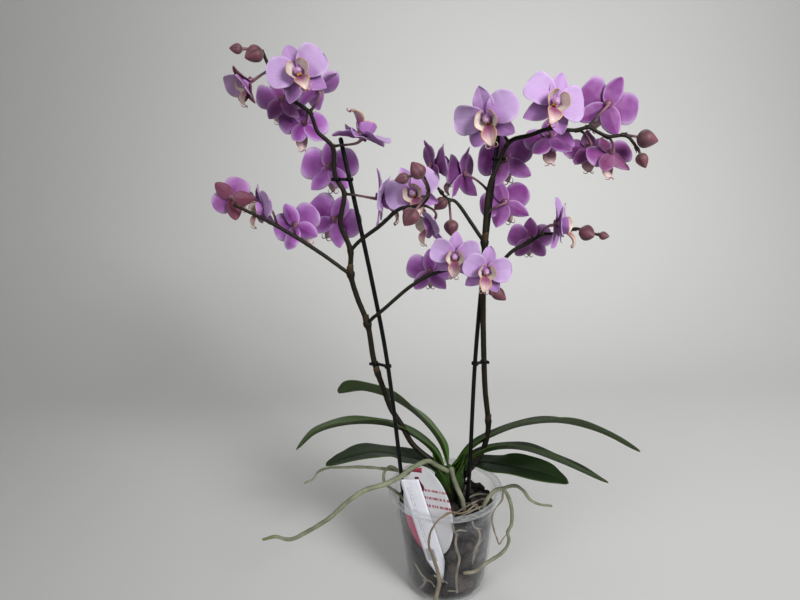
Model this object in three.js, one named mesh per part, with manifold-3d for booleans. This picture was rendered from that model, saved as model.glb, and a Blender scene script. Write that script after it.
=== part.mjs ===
// Potted orchid: a moth orchid with two flower spikes in a clear pot. Millimetres, +Z up.
// The origin is the centre of the pot's flat underside. +X is the viewer's right, -Y faces the viewer.
import * as THREE from 'three';
import { mergeVertices } from 'three/addons/utils/BufferGeometryUtils.js';
import Module from 'manifold-3d';

const wasm = await Module();
wasm.setup();

// ---- Driving dimensions ----

const GAP = 0.3; // clearance between pieces that touch
const SEED = 7;

const POT = {
  height: 112,
  footRadius: 43,
  topRadius: 54,
  rimRadius: 60,
  rimThickness: 4,
  wall: 1,
  floor: 1.6,
  sides: 28,
};
const DRAIN = { count: 6, radius: 3, ring: 29, depth: 5, sides: 8 };
const BARK = {
  top: 92,
  clearance: 0.42, // to the pot's wall
  chips: 11,
  chipSize: [9, 15, 5],
  chipScale: [0.7, 1.2],
  spread: 40,
  tilt: 0.4,
  rise: [-1.5, 0.8],
};

const CROWN = { base: 70, top: 150, radii: [8, 11, 13, 12.5, 9.5, 5], depth: 0.8, shift: 4, sides: 8 };

const STAKE = { radius: 2.2, sides: 6 };
const STAKES = {
  left: [[-41, -18, 50], [-46, -13, 131], [-57, -8, 258], [-69, -6, 339], [-92, -4, 469]],
  right: [[16, -14, 50], [23, -10, 113], [31, -2, 257], [41, 3, 368], [52, 6, 467]],
};
const CLIP = { height: 3.5, wall: 1.5, stemRadius: 2.4, bridgeThickness: 2, bridgeHeight: 2.9, sides: 6 };
const CLIPS = {
  clip_left_low: { side: 'left', height: 252 },
  clip_left_high: { side: 'left', height: 434 },
  clip_right_low: { side: 'right', height: 250 },
  clip_right_high: { side: 'right', height: 448 },
};

const TAG = {
  azimuth: -25, // the way the tags face, from the front towards the viewer's right
  lean: 6, // the pot wall's slope
  thickness: 0.8,
  oval: { width: 52, height: 105, centreHeight: 106, distance: 43.4, shift: -2, turn: 4 },
  strip: { width: 21, length: 124, shoulder: 97, topHeight: 143, distance: 49.4, shift: -19.5, turn: 14 },
};

// Leaves: the midrib's route from the crown to the tip, the blade's half widths along it,
// the fold of its two halves and the bank of the whole blade, both in degrees.
const LEAF = { thickness: 1.4, across: 4, stations: [0, 0.14, 0.3, 0.46, 0.62, 0.78, 0.92, 1] };
const LEAVES = {
  leaf_left_1: {
    midrib: [
      [4, 3, 134], [-4, 14, 156], [-19, 28, 173], [-40, 44, 186], [-64, 60, 193], [-96, 80, 192],
      [-118, 94, 181],
    ],
    halfWidths: [0, 11, 18, 22, 22, 19, 12, 0],
    fold: 14,
    bank: 38,
  },
  leaf_left_2: {
    midrib: [
      [1, 1, 128], [-15, 9, 152], [-38, 16, 168], [-62, 16, 178], [-100, 8, 184], [-133, -3, 180],
      [-153, -9, 164],
    ],
    halfWidths: [0, 10, 16, 19, 21, 18, 11, 0],
    fold: 14,
    bank: 20,
  },
  leaf_left_3: {
    midrib: [[2, -2, 118], [-21, 8, 135], [-47, 15, 140], [-73, 7, 149], [-98, -12, 154.5], [-121, -27, 155]],
    halfWidths: [0, 11, 18, 22, 24, 19, 10, 0],
    fold: 10,
    bank: 8,
  },
  leaf_right_1: {
    midrib: [
      [8, 4, 134], [34, 13, 153], [54, 17, 162], [82, 21, 170], [125, 25, 171], [169, 23, 159],
      [210, 14, 138],
    ],
    halfWidths: [0, 9, 15, 18, 19, 16, 10, 0],
    fold: 14,
    bank: 24,
  },
  leaf_right_2: {
    midrib: [[6, 1, 127], [36, 7, 145], [58, 6, 152], [83, 0, 153], [120, -9, 142], [165, -20, 123]],
    halfWidths: [0, 9, 15, 18, 19, 16, 10, 0],
    fold: 16,
    bank: 22,
  },
  leaf_right_3: {
    midrib: [
      [6, 0, 118], [22, 6, 129], [36, 4, 135], [54, -13, 142], [76, -30, 147], [97, -41, 146],
      [116, -48, 141],
    ],
    halfWidths: [0, 10, 16, 21, 23, 20, 12, 0],
    fold: 12,
    bank: 0,
  },
};

// Blooms in their own frame: +Z is the way the bloom faces and +Y points at its top sepal.
const BLADE = 0.7; // thickness of a petal
const FOLDING = 65; // degrees a tepal still has to open in a shut bloom
const PETAL = {
  length: 26,
  stations: [0, 0.48, 0.85, 1],
  halfWidths: [0, 13, 10.5, 0],
  across: 2,
  lift: 4,
  cup: 1.4,
  layer: 1,
};
const SEPAL = {
  length: 25,
  stations: [0, 0.45, 0.84, 1],
  halfWidths: [0, 8, 5.5, 0],
  across: 1,
  lift: -3,
  cup: 0,
  layer: -1,
};
const TEPALS = [
  { form: SEPAL, turn: 0 },
  { form: SEPAL, turn: 138 },
  { form: SEPAL, turn: -138 },
  { form: PETAL, turn: 72 },
  { form: PETAL, turn: -72 },
];
const COLUMN = { back: 3, front: 7, backRadius: 3.6, frontRadius: 2.2, sides: 5 };
const LIP = {
  length: 19,
  stations: [0, 0.36, 0.64, 1],
  halfWidths: [0, 7.5, 4, 0],
  lobe: { rise: 8, spread: 0.45, lean: 0.4 }, // the side lobes stand up beside the column
  base: 2,
  forward: 16, // how far it heads forwards at its start, and how much of that it loses by its tip
  fall: 9.6,
};

const STEM = { sides: 5 };
const STALK = { radius: 1.25, sides: 3, steps: 4, arriving: 7, rise: 3, clearance: 0.7 };
const BUD = { sides: 5, rings: 3 };
const COLLAR = { length: 7, flare: 0.9, taper: 0.8, sides: 5 };
const SAMPLES = 400; // places tried along a curve when one point of it is looked for

// Each spike: its stem and branches with their radii from foot to tip, the nodes that carry a collar,
// the buds (centre, length, width, where the stalk leaves) and the blooms. A bloom has its centre, the
// azimuth (0 to the viewer, 90 to the right) and elevation that it faces, its roll seen from its front,
// its scale, how far it is open, where its stalk leaves the spike and which way the stalk bows.
const SPIKES = {
  left: {
    stem: {
      route: [
        [1, -1, 127], [-8, 2, 137], [-22, 5, 147], [-34, 7, 159], [-45, 8, 181], [-55, 8, 199], [-61, 6, 219],
        [-70, 0, 254], [-75, -2, 294], [-84, -3, 322], [-89, -4, 345], [-88, -5, 368], [-96, -7, 393],
        [-94, -8, 405], [-91, -9, 422], [-98, -11, 437], [-99, -13, 463], [-105, -15, 470], [-111, -17, 476],
        [-116, -21, 492], [-122, -23, 497], [-130, -24, 503], [-139, -24, 519], [-148, -24, 531],
        [-152, -26, 542],
      ],
      radii: [2.9, 2.6, 2.4, 2.2, 2, 1.8, 1.4, 1.1],
      steps: 25,
    },
    branches: [
      {
        route: [[-89, -4, 344], [-97, -6, 351], [-118, -8, 368], [-155, -12, 394], [-190, -17, 414]],
        radii: [1.8, 1.6, 1.4, 1.1],
        steps: 7,
      },
      {
        route: [
          [-88, -5, 367], [-81, -10, 375], [-74, -14, 381], [-60, -18, 391], [-40, -30, 408], [-30, -36, 410],
          [-22, -39, 412], [-16, -41, 418], [-15, -42, 425], [-20, -44, 438],
        ],
        radii: [1.8, 1.6, 1.3, 1],
        steps: 9,
      },
      {
        route: [
          [-75, -2, 294], [-69, -9, 302], [-64, -14, 307], [-56, -16, 314], [-31, -18, 335], [-8, -20, 347],
          [15, -23, 351], [30, -25, 347], [39, -27, 336], [42, -29, 331],
        ],
        radii: [1.8, 1.5, 1.3, 1],
        steps: 10,
      },
    ],
    collars: [[-66, 2, 241], [-75, -2, 294], [-89, -4, 345]],
    buds: [
      { at: [-173, -30, 544], length: 11, width: 9, from: [-160, -29, 545] },
      { at: [-159, -30, 539], length: 17, width: 15, from: [-152, -26, 541] },
      { at: [-38, -45, 435], length: 13, width: 10, from: [-20, -44, 438] },
      { at: [-25, -46, 442], length: 17, width: 14, from: [-15, -42, 425] },
      { at: [-32, -50, 402], length: 18, width: 16, from: [-15, -41, 421] },
      { at: [49, -30, 327], length: 16, width: 12, from: [41, -29, 333] },
      { at: [42, -31, 329], length: 7, width: 6, from: [35, -27, 340] },
    ],
    blooms: [
      { at: [-120, -46, 521], faces: [5, 15], roll: -20, from: [-137, -24, 515] },
      { at: [-110, -8, 512], faces: [-118, 48], from: [-116, -21, 492] },
      { at: [-163, -34, 517], faces: [-50, -25], roll: 10, scale: 0.8, open: 0.4, from: [-145, -24, 528] },
      { at: [-145, 6, 505], faces: [-140, -20], scale: 0.85, open: 0.8, from: [-132, -24, 509] },
      { at: [-128, 22, 483], faces: [-150, -25], scale: 0.95, from: [-117, -21, 494] },
      { at: [-72, -14, 471], faces: [110, 68], roll: 160, scale: 1.05, from: [-99, -13, 463] },
      { at: [-106, 18, 443], faces: [175, -10], scale: 1.05, from: [-98, -12, 450] },
      { at: [-105, 22, 393], faces: [180, -5], roll: -30, scale: 1.05, from: [-94, -8, 402] },
      { at: [-59, -4, 415], faces: [82, -5], scale: 1.1, open: 0.85, from: [-91, -9, 421], bow: [4, -12, 2] },
      { at: [-193, -10, 420], faces: [-165, -5], roll: 45, scale: 0.8, open: 0.8, from: [-188, -17, 413] },
      { at: [-170, 9, 409], faces: [-52, -8], scale: 0.85, open: 0.9, from: [-153, -12, 393] },
      { at: [-140, 12, 390], faces: [170, -10], roll: 25, scale: 0.95, from: [-138, -11, 382] },
      { at: [-28, -20, 421], faces: [-5, 0], roll: -25, scale: 0.95, from: [-54, -21, 396], bow: [2, 24, 2] },
      { at: [-12, -3, 392], faces: [-60, -20], scale: 0.9, open: 0.9, from: [-22, -39, 412], bow: [13, 9, 0] },
      { at: [-13, 0, 344], faces: [175, -5], scale: 0.9, from: [-26, -18, 341] },
      { at: [8, -34, 365], faces: [-5, -5], roll: 5, scale: 0.87, from: [-3, -21, 352] },
      { at: [33, -52, 354], faces: [0, 0], roll: 12, scale: 0.85, from: [21, -24, 351] },
    ],
  },
  right: {
    stem: {
      route: [
        [8, -2, 108], [24, 2, 127], [34, 6, 137], [42, 8, 153], [46, 8, 173], [42, 5, 218], [40, 1, 250],
        [38, -4, 305], [38, -7, 353], [39, -9, 393], [42, -11, 424], [48, -12, 440], [59, -15, 463],
        [76, -19, 468], [92, -23, 473], [113, -27, 471], [125, -29, 473], [132, -30, 469], [141, -31, 465],
        [156, -33, 465], [166, -34, 454],
      ],
      radii: [2.9, 2.6, 2.4, 2.2, 2, 1.8, 1.4, 1.1],
      steps: 25,
    },
    branches: [
      {
        route: [[38, -8, 372], [25, -6, 392], [11, -6, 411], [3, -8, 414], [-2, -11, 420]],
        radii: [1.8, 1.5, 1.3, 1],
        steps: 7,
      },
      {
        route: [
          [40, -6, 332], [56, -8, 354], [64, -9, 363], [80, -8, 371], [92, -4, 377],
          [108, 3, 377], [119, 4, 378], [125, -2, 382], [133, -8, 380], [146, -10, 376],
        ],
        radii: [1.8, 1.5, 1.3, 1],
        steps: 11,
      },
    ],
    collars: [[45, 8, 182], [38, -6, 333], [38, -8, 372]],
    buds: [
      { at: [-3, -9, 409], length: 15, width: 12, from: [2, -2, 414] },
      { at: [7, -12, 387], length: 16, width: 14, from: [4, -2, 413] },
      { at: [173, -36, 462], length: 18, width: 16, from: [154, -33, 465] },
      { at: [171, -34, 444], length: 14, width: 11, from: [166, -34, 454] },
      { at: [133, -14, 379], length: 17, width: 15, from: [125, -2, 382] },
      { at: [149, -12, 376], length: 10, width: 8, from: [146, -10, 376] },
    ],
    blooms: [
      { at: [-8, 6, 443], faces: [110, 5], from: [-2, -11, 420], bow: [-5, -6, 4] },
      { at: [20, 10, 434], faces: [-126, 5], scale: 1.02, from: [41, -10, 418] },
      { at: [35, -42, 483], faces: [-15, -15], roll: -15, scale: 1.05, from: [59, -15, 463] },
      { at: [89, -46, 493], faces: [5, 5], roll: 23, scale: 1.05, from: [94, -23, 473] },
      { at: [144, -14, 491], faces: [178, -5], roll: -24, scale: 1.05, from: [125, -29, 473] },
      { at: [134, -4, 456], faces: [175, -42], scale: 0.9, open: 0.9, from: [117, -28, 471] },
      { at: [147, -24, 450], faces: [-165, -40], scale: 0.85, open: 0.9, from: [140, -31, 465] },
      { at: [99, 0, 465], faces: [175, -45], scale: 0.95, open: 0.9, from: [85, -21, 470] },
      { at: [61, 14, 446], faces: [180, -5], roll: 15, scale: 1.05, from: [49, -12, 443] },
      { at: [61, 12, 406], faces: [175, -10], roll: 20, scale: 0.95, from: [40, -9, 398] },
      { at: [85, 10, 371], faces: [172, -10], scale: 0.82, from: [77, -8, 369] },
      { at: [101, -26, 389], faces: [65, 0], scale: 0.95, open: 0.9, from: [93, -3, 372], bow: [-4, -6, 2] },
    ],
  },
};

// Air roots: strands with their radii. The strands of one root leave from its first one.
const ROOT = { sides: 5 };
const ROOTS = {
  root_left_long: [
    {
      route: [
        [2, -4, 132], [-10, -9, 142], [-19, -16, 151], [-32, -24, 150], [-45, -32, 145], [-62, -42, 142],
        [-81, -50, 141], [-99, -56, 132], [-116, -58, 117], [-136, -58, 104], [-156, -56, 93],
        [-171, -54, 95], [-183, -52, 91],
      ],
      radii: [2.4, 2.4, 2.6, 2.4, 2.3, 2.1, 1.9, 1.4],
      steps: 15,
    },
  ],
  root_left_thin: [
    {
      route: [
        [-12, 4, 118], [-37, 8, 124], [-56, 12, 126], [-84, 10, 131], [-105, 4, 135], [-123, 0, 137],
        [-133, -2, 134], [-139, -4, 127], [-147, -6, 124],
      ],
      radii: [1.8, 1.7, 1.6, 1.4, 1],
      steps: 11,
    },
    {
      route: [
        [-48, 11, 125], [-58, 6, 133], [-64, -2, 131], [-64, -10, 124], [-57, -15, 120], [-48, -18, 114],
        [-40, -20, 103], [-36, -21, 90],
      ],
      radii: [1.5, 1.5],
      steps: 9,
    },
  ],
  root_right: [
    {
      route: [
        [36, -20, 84], [38, -20, 100], [44, -20, 112], [51, -18, 117], [58, -17, 118], [67, -10, 116],
        [75, -6, 113], [83, -4, 105], [89, -4, 96], [99, -6, 91], [111, -8, 90],
      ],
      radii: [2, 2, 1.9, 1.7, 1.2],
      steps: 13,
    },
    {
      route: [
        [58, -17, 118], [63, -18, 110], [66, -20, 100], [67, -22, 90], [66, -24, 80], [62, -26, 72],
        [63, -29, 65], [60, -32, 59], [54, -37, 56], [43, -44, 54], [34, -50, 53], [25, -54, 49],
        [14, -57, 50],
      ],
      radii: [1.9, 1.9, 1.8, 1.8, 2, 1.6],
      steps: 13,
    },
  ],
  root_front: [
    {
      route: [
        [30, -18, 84], [31, -22, 102], [28, -28, 107], [19, -38, 107], [10, -48, 111], [2, -56, 118],
        [-6, -64, 120], [-13, -68, 117], [-18, -67, 108], [-20, -63, 99], [-21, -59, 83],
        [-18, -56, 72], [-15, -54, 60], [-12, -53, 47], [-11, -52, 34], [-13, -51, 23], [-16, -50, 9],
      ],
      radii: [1.4, 1.4, 1.6, 1.8, 2.2, 2.6, 2.7, 2.5],
      steps: 19,
    },
  ],
  root_prop: [
    {
      route: [[6, -4, 134], [8, -11, 126], [12, -15, 116], [16, -19, 106], [18, -21, 86]],
      radii: [2.4, 2.4, 2.2],
      steps: 6,
    },
  ],
};

// Roots inside the wall: the places along each one, as X and height.
const WALL_ROOT = { radius: 1.3, inset: 2.1, steps: 6 };
const WALL_ROOTS = {
  root_wall_1: [[7, 88], [6, 80], [7, 70], [10, 58], [8, 44], [7, 30], [8, 14]],
  root_wall_2: [[27, 90], [31, 82], [31, 72], [26, 62], [24, 50]],
  root_wall_3: [[-34, 40], [-28, 31], [-24, 27], [-26, 18], [-30, 10]],
};

const COLOURS = {
  pot: [0xdfe5e2, 0.1],
  bark: [0x3a2a20, 0.9],
  crown: [0x5d7d2c, 0.5],
  leaf: [0x24401d, 0.35],
  stem: [0x2d2a17, 0.45],
  bloom: [0xb277cf, 0.55],
  stake: [0x0c0c0d, 0.3],
  clip: [0x101011, 0.4],
  root: [0x8d9a78, 0.7],
  tag: [0xf0f0f0, 0.6],
};

// ---- Helpers ----

const vector = ([x, y, z]) => new THREE.Vector3(x, y, z);
const curveOf = (route) => new THREE.CatmullRomCurve3(route.map(vector), false, 'centripetal');
const radians = THREE.MathUtils.degToRad;

// A repeatable draw between low and high.
let draw = SEED;
function random(low, high) {
  draw = (draw * 16807) % 2147483647;
  return low + ((high - low) * draw) / 2147483647;
}

// The value at t (0 to 1) in a list of evenly spaced values.
function sample(values, t) {
  const place = Math.min(t, 1) * (values.length - 1);
  const before = Math.min(Math.floor(place), values.length - 2);
  return THREE.MathUtils.lerp(values[before], values[before + 1], place - before);
}

// A closed geometry as a solid that can be joined and cut.
function solid(geometry) {
  const bare = new THREE.BufferGeometry();
  bare.setAttribute('position', geometry.getAttribute('position'));
  bare.setIndex(geometry.index);
  const merged = mergeVertices(bare, 1e-4);
  const corners = merged.index.array;
  const kept = [];
  for (let i = 0; i < corners.length; i += 3) {
    const [a, b, c] = corners.subarray(i, i + 3);
    if (a !== b && b !== c && c !== a) kept.push(a, b, c);
  }
  const vertProperties = merged.getAttribute('position').array;
  return new wasm.Manifold(new wasm.Mesh({ numProp: 3, vertProperties, triVerts: new Uint32Array(kept) }));
}

const joined = (solids) => solids.reduce((all, next) => all.add(next));
const cut = (from, tools) => tools.reduce((rest, tool) => rest.subtract(tool), from);

// The named mesh of a finished solid.
function mesh(name, made, [colour, roughness]) {
  const { vertProperties, triVerts } = made.getMesh();
  const geometry = new THREE.BufferGeometry();
  geometry.setAttribute('position', new THREE.BufferAttribute(Float32Array.from(vertProperties), 3));
  geometry.setIndex(new THREE.BufferAttribute(Uint32Array.from(triVerts), 1));
  geometry.computeVertexNormals();
  const material = new THREE.MeshStandardMaterial({ color: colour, roughness, metalness: 0 });
  const node = new THREE.Mesh(geometry, material);
  node.name = name;
  return node;
}

// A tapering stem: a unit cylinder bent along a smooth curve through the route's points.
function tube({ route, radii, steps }, sides, extra = 0) {
  const curve = curveOf(route);
  const { normals, binormals } = curve.computeFrenetFrames(steps);
  const cylinder = new THREE.CylinderGeometry(1, 1, 1, sides, steps);
  const position = cylinder.getAttribute('position');
  for (let i = 0; i < position.count; i++) {
    const row = Math.round((position.getY(i) + 0.5) * steps);
    const radius = sample(radii, row / steps) + extra;
    const point = curve.getPointAt(row / steps);
    point.addScaledVector(binormals[row], radius * position.getX(i));
    point.addScaledVector(normals[row], radius * position.getZ(i));
    position.setXYZ(i, ...point);
  }
  return solid(cylinder);
}

// The two triangles between each pair of neighbours in two rows, or a fan where one row is a point.
function strip(below, above) {
  const faces = [];
  for (let k = 1; k < Math.max(below.length, above.length); k++) {
    const [lowLeft, lowRight] = [below[k - 1] ?? below[0], below[k] ?? below[0]];
    const [highLeft, highRight] = [above[k - 1] ?? above[0], above[k] ?? above[0]];
    if (below.length > 1) faces.push([lowLeft, lowRight, highRight]);
    if (above.length > 1) faces.push([lowLeft, highRight, highLeft]);
  }
  return faces;
}

// A thin closed blade. place(u, v, side) gives its middle surface, where v runs from 0 to 1 along it,
// u is the distance from its midrib and side runs from -1 to 1. A half width of 0 is a single point.
// Both faces have the same triangles, and a wall runs round the edge.
function blade({ stations, halfWidths }, across, thickness, place) {
  const points = [];
  const faces = [];
  let below = [];
  halfWidths.forEach((half, i) => {
    const sides = half === 0 ? [0] : Array.from({ length: across + 1 }, (_, k) => (2 * k) / across - 1);
    const row = sides.map((side) => points.push(place(side * half, stations[i], side)) - 1);
    faces.push(...strip(below, row));
    below = row;
  });
  const middle = new THREE.BufferGeometry().setFromPoints(points).setIndex(faces.flat());
  middle.computeVertexNormals();
  const normals = middle.getAttribute('normal');
  const offset = (sign) =>
    points.map((point, i) => {
      const out = new THREE.Vector3().fromBufferAttribute(normals, i);
      return point.clone().addScaledVector(out, (sign * thickness) / 2);
    });
  const under = points.length;
  const closing = faces.map(([a, b, c]) => [c + under, b + under, a + under]);
  const edges = new Set();
  for (const [a, b, c] of faces) {
    edges.add(`${a} ${b}`).add(`${b} ${c}`).add(`${c} ${a}`);
  }
  for (const edge of edges) {
    const [a, b] = edge.split(' ').map(Number);
    if (edges.has(`${b} ${a}`)) continue;
    closing.push([b, a, a + under], [b, a + under, b + under]);
  }
  const closed = new THREE.BufferGeometry().setFromPoints([...offset(1), ...offset(-1)]);
  return solid(closed.setIndex([...faces, ...closing].flat()));
}

// A turned solid about the Z axis. The profile starts and ends on the axis.
function turned(profile, sides) {
  const points = profile.map(([radius, height]) => new THREE.Vector2(radius, height));
  return solid(new THREE.LatheGeometry(points, sides).rotateX(Math.PI / 2));
}

// ---- Pot, bark and crown ----

const innerRadius = (height) =>
  THREE.MathUtils.lerp(POT.footRadius, POT.topRadius, height / (POT.height - POT.rimThickness)) - POT.wall;

function makePot() {
  const neck = POT.height - POT.rimThickness;
  const shell = turned(
    [
      [0, 0],
      [POT.footRadius, 0],
      [POT.topRadius, neck],
      [POT.rimRadius, neck],
      [POT.rimRadius, POT.height],
      [innerRadius(POT.height), POT.height],
      [innerRadius(POT.floor), POT.floor],
      [0, POT.floor],
    ],
    POT.sides,
  );
  const holes = Array.from({ length: DRAIN.count }, (_, i) => {
    const angle = (i / DRAIN.count) * Math.PI * 2;
    const hole = new THREE.CylinderGeometry(DRAIN.radius, DRAIN.radius, DRAIN.depth, DRAIN.sides);
    hole.rotateX(Math.PI / 2);
    return solid(hole.translate(DRAIN.ring * Math.cos(angle), DRAIN.ring * Math.sin(angle), POT.floor / 2));
  });
  return cut(shell, holes);
}

// The crown, or with extra the space round it. It is flatter from front to back.
function crownShape(extra = 0) {
  const { base, top, radii, depth, shift, sides } = CROWN;
  const flattening = depth + (extra * (1 - depth)) / Math.max(...radii);
  const [low, high] = [base - extra, top + extra];
  const side = radii.map((radius, i) => [radius + extra, low + ((high - low) * i) / (radii.length - 1)]);
  const profile = [[0, low], ...side, [0, high]].map(([radius, height]) => new THREE.Vector2(radius, height));
  const lathe = new THREE.LatheGeometry(profile, sides).rotateX(Math.PI / 2);
  return solid(lathe.scale(1, flattening, 1).translate(shift, 0, 0));
}

function barkChip() {
  const { chipSize, chipScale, spread, tilt, top, rise } = BARK;
  const [width, length, thickness] = chipSize.map((size) => size * random(...chipScale));
  const chip = new THREE.BoxGeometry(width, length, thickness);
  const reach = spread * Math.sqrt(random(0, 1));
  const turn = random(0, Math.PI * 2);
  chip.rotateX(random(-tilt, tilt));
  chip.rotateY(random(-tilt, tilt));
  chip.rotateZ(random(0, Math.PI));
  return solid(chip.translate(reach * Math.cos(turn), reach * Math.sin(turn), top + random(...rise)));
}

function makeSubstrate(tools) {
  const low = POT.floor + GAP;
  const filling = turned(
    [
      [0, low],
      [innerRadius(low) - BARK.clearance, low],
      [innerRadius(BARK.top) - BARK.clearance, BARK.top],
      [0, BARK.top],
    ],
    POT.sides,
  );
  const chips = Array.from({ length: BARK.chips }, barkChip);
  return cut(joined([filling, ...chips]), tools);
}

// ---- Leaves ----

function makeLeaf({ midrib, halfWidths, fold, bank }) {
  const curve = curveOf(midrib);
  const zenith = new THREE.Vector3(0, 0, 1);
  const place = (half, v) => {
    const tangent = curve.getTangentAt(v);
    const side = new THREE.Vector3().crossVectors(tangent, zenith).normalize();
    const towardsViewer = side.y < 0 ? 1 : -1;
    side.applyAxisAngle(tangent, radians(bank * -towardsViewer));
    const up = new THREE.Vector3().crossVectors(side, tangent).normalize();
    return curve
      .getPointAt(v)
      .addScaledVector(side, half * Math.cos(radians(fold)))
      .addScaledVector(up, Math.abs(half) * Math.sin(radians(fold)));
  };
  return blade({ stations: LEAF.stations, halfWidths }, LEAF.across, LEAF.thickness, place);
}

// ---- Blooms ----

function tepal({ form, turn }, open) {
  const lift = radians(form.lift + (1 - open) * FOLDING);
  const place = (u, v, side) => {
    const reach = form.length * v;
    const forward = form.layer + form.cup * side * side;
    return new THREE.Vector3(
      u,
      reach * Math.cos(lift) - forward * Math.sin(lift),
      forward * Math.cos(lift) + reach * Math.sin(lift),
    );
  };
  return blade(form, form.across, BLADE, place).rotate([0, 0, -turn]);
}

// The lip: its wide part stands up as the side lobes, and its narrow end hangs in front.
function makeLip() {
  const { length, stations, lobe, base, forward, fall } = LIP;
  const place = (u, v, side) => {
    const rise = lobe.rise * side * side * Math.max(0, 1 - Math.abs(v - stations[1]) / lobe.spread);
    return new THREE.Vector3(-u, rise - length * v, base + forward * v - fall * v * v + rise * lobe.lean);
  };
  return blade(LIP, 2, BLADE, place);
}

function makeBloom({ open }) {
  const { back, front, backRadius, frontRadius, sides } = COLUMN;
  const column = new THREE.CylinderGeometry(frontRadius, backRadius, back + front, sides);
  column.rotateX(Math.PI / 2).rotateZ(Math.PI / sides).translate(0, 0, (front - back) / 2);
  return joined([solid(column), ...TEPALS.map((each) => tepal(each, open)), makeLip()]);
}

// The unit vector a bloom faces along.
function facing({ faces: [azimuth, elevation] }) {
  const turn = radians(azimuth);
  const level = Math.cos(radians(elevation));
  return new THREE.Vector3(level * Math.sin(turn), -level * Math.cos(turn), Math.sin(radians(elevation)));
}

// A bloom's values, with those that its row leaves out.
const full = (bloom) => ({ roll: 0, scale: 1, open: 1, bow: [0, 0, STALK.rise], ...bloom });

function placement(bloom) {
  const front = facing(bloom);
  const up = new THREE.Vector3(0, 0, 1).addScaledVector(front, -front.z).normalize();
  const right = new THREE.Vector3().crossVectors(up, front);
  return new THREE.Matrix4()
    .makeBasis(right, up, front)
    .multiply(new THREE.Matrix4().makeRotationZ(-radians(bloom.roll)))
    .scale(new THREE.Vector3().setScalar(bloom.scale))
    .setPosition(vector(bloom.at));
}

// ---- Spikes ----

// The point of the spike's stem and branches that is nearest to a place.
function nearest({ stem, branches }, place) {
  const points = [stem, ...branches].flatMap(({ route, steps }) => {
    const spine = curveOf(route).getSpacedPoints(steps);
    return spine.slice(1).map((end, i) => {
      return new THREE.Line3(spine[i], end).closestPointToPoint(place, true, new THREE.Vector3());
    });
  });
  return points.reduce((best, point) => (point.distanceTo(place) < best.distanceTo(place) ? point : best));
}

// The stalk of a bloom ends just behind it and arrives straight along the way it faces.
function stalk(spike, bloom) {
  const front = facing(bloom);
  const start = nearest(spike, vector(bloom.from));
  const end = vector(bloom.at).addScaledVector(front, -(COLUMN.back * bloom.scale + STALK.clearance));
  const before = end.clone().addScaledVector(front, -STALK.arriving);
  const after = start.clone().lerp(before, 0.3).add(vector(bloom.bow));
  const bend = new THREE.QuadraticBezierCurve3(start, after, before).getPoints(STALK.steps - 1);
  const route = [...bend, end];
  return tube({ route, radii: [STALK.radius, STALK.radius], steps: STALK.steps }, STALK.sides);
}

// A bud: an egg whose axis runs on from its own stalk.
function bud(spike, { at, length, width, from }) {
  const egg = new THREE.SphereGeometry(0.5, BUD.sides, BUD.rings).rotateX(Math.PI / 2);
  egg.scale(width, width, length);
  const start = nearest(spike, vector(from));
  const axis = vector(at).sub(start).normalize();
  egg.applyQuaternion(new THREE.Quaternion().setFromUnitVectors(new THREE.Vector3(0, 0, 1), axis));
  egg.translate(...at);
  const neck = { route: [start, at], radii: [STALK.radius, STALK.radius], steps: 1 };
  return solid(egg).add(tube(neck, STALK.sides));
}

// The short sheath round a stem's node, wider at its top.
function collar(stem, at) {
  const curve = curveOf(stem.route);
  const places = curve.getSpacedPoints(SAMPLES);
  const distances = places.map((place) => place.distanceTo(vector(at)));
  const index = distances.indexOf(Math.min(...distances));
  const radius = sample(stem.radii, index / SAMPLES) + COLLAR.flare;
  const sheath = new THREE.CylinderGeometry(radius, radius * COLLAR.taper, COLLAR.length, COLLAR.sides);
  const along = curve.getTangentAt(index / SAMPLES);
  sheath.applyQuaternion(new THREE.Quaternion().setFromUnitVectors(new THREE.Vector3(0, 1, 0), along));
  return solid(sheath.translate(...places[index]));
}

function makeSpike(spike) {
  return joined([
    tube(spike.stem, STEM.sides),
    ...spike.branches.map((branch) => tube(branch, STEM.sides)),
    ...spike.collars.map((at) => collar(spike.stem, at)),
    ...spike.buds.map((each) => bud(spike, each)),
    ...spike.blooms.map((each) => stalk(spike, full(each))),
  ]);
}

// ---- Stakes and clips ----

const stakeTube = (route, extra = 0) =>
  tube({ route, radii: [STAKE.radius, STAKE.radius], steps: route.length - 1 }, STAKE.sides, extra);

// The point of a tube's centre line at a height.
function pointAt(route, height) {
  const miss = (place) => Math.abs(place.z - height);
  return curveOf(route)
    .getSpacedPoints(SAMPLES)
    .reduce((best, place) => (miss(place) < miss(best) ? place : best));
}

// A clip: a ring round the stake and one round the stem, with a bridge between them.
function makeClip({ side, height }) {
  const onStake = pointAt(STAKES[side], height);
  const onStem = pointAt(SPIKES[side].stem.route, height);
  const collars = [[onStake, STAKE.radius], [onStem, CLIP.stemRadius]].map(([centre, radius]) => {
    const ring = new THREE.CylinderGeometry(radius + CLIP.wall, radius + CLIP.wall, CLIP.height, CLIP.sides);
    return solid(ring.rotateX(Math.PI / 2).translate(...centre));
  });
  const span = onStake.distanceTo(onStem);
  const bridge = new THREE.BoxGeometry(span, CLIP.bridgeThickness, CLIP.bridgeHeight);
  bridge.rotateZ(Math.atan2(onStem.y - onStake.y, onStem.x - onStake.x));
  bridge.translate(...onStake.clone().lerp(onStem, 0.5));
  const holes = [stakeTube(STAKES[side], GAP), tube(SPIKES[side].stem, STEM.sides, GAP)];
  return cut(joined([...collars, solid(bridge)]), holes);
}

// ---- Tags ----

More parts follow.
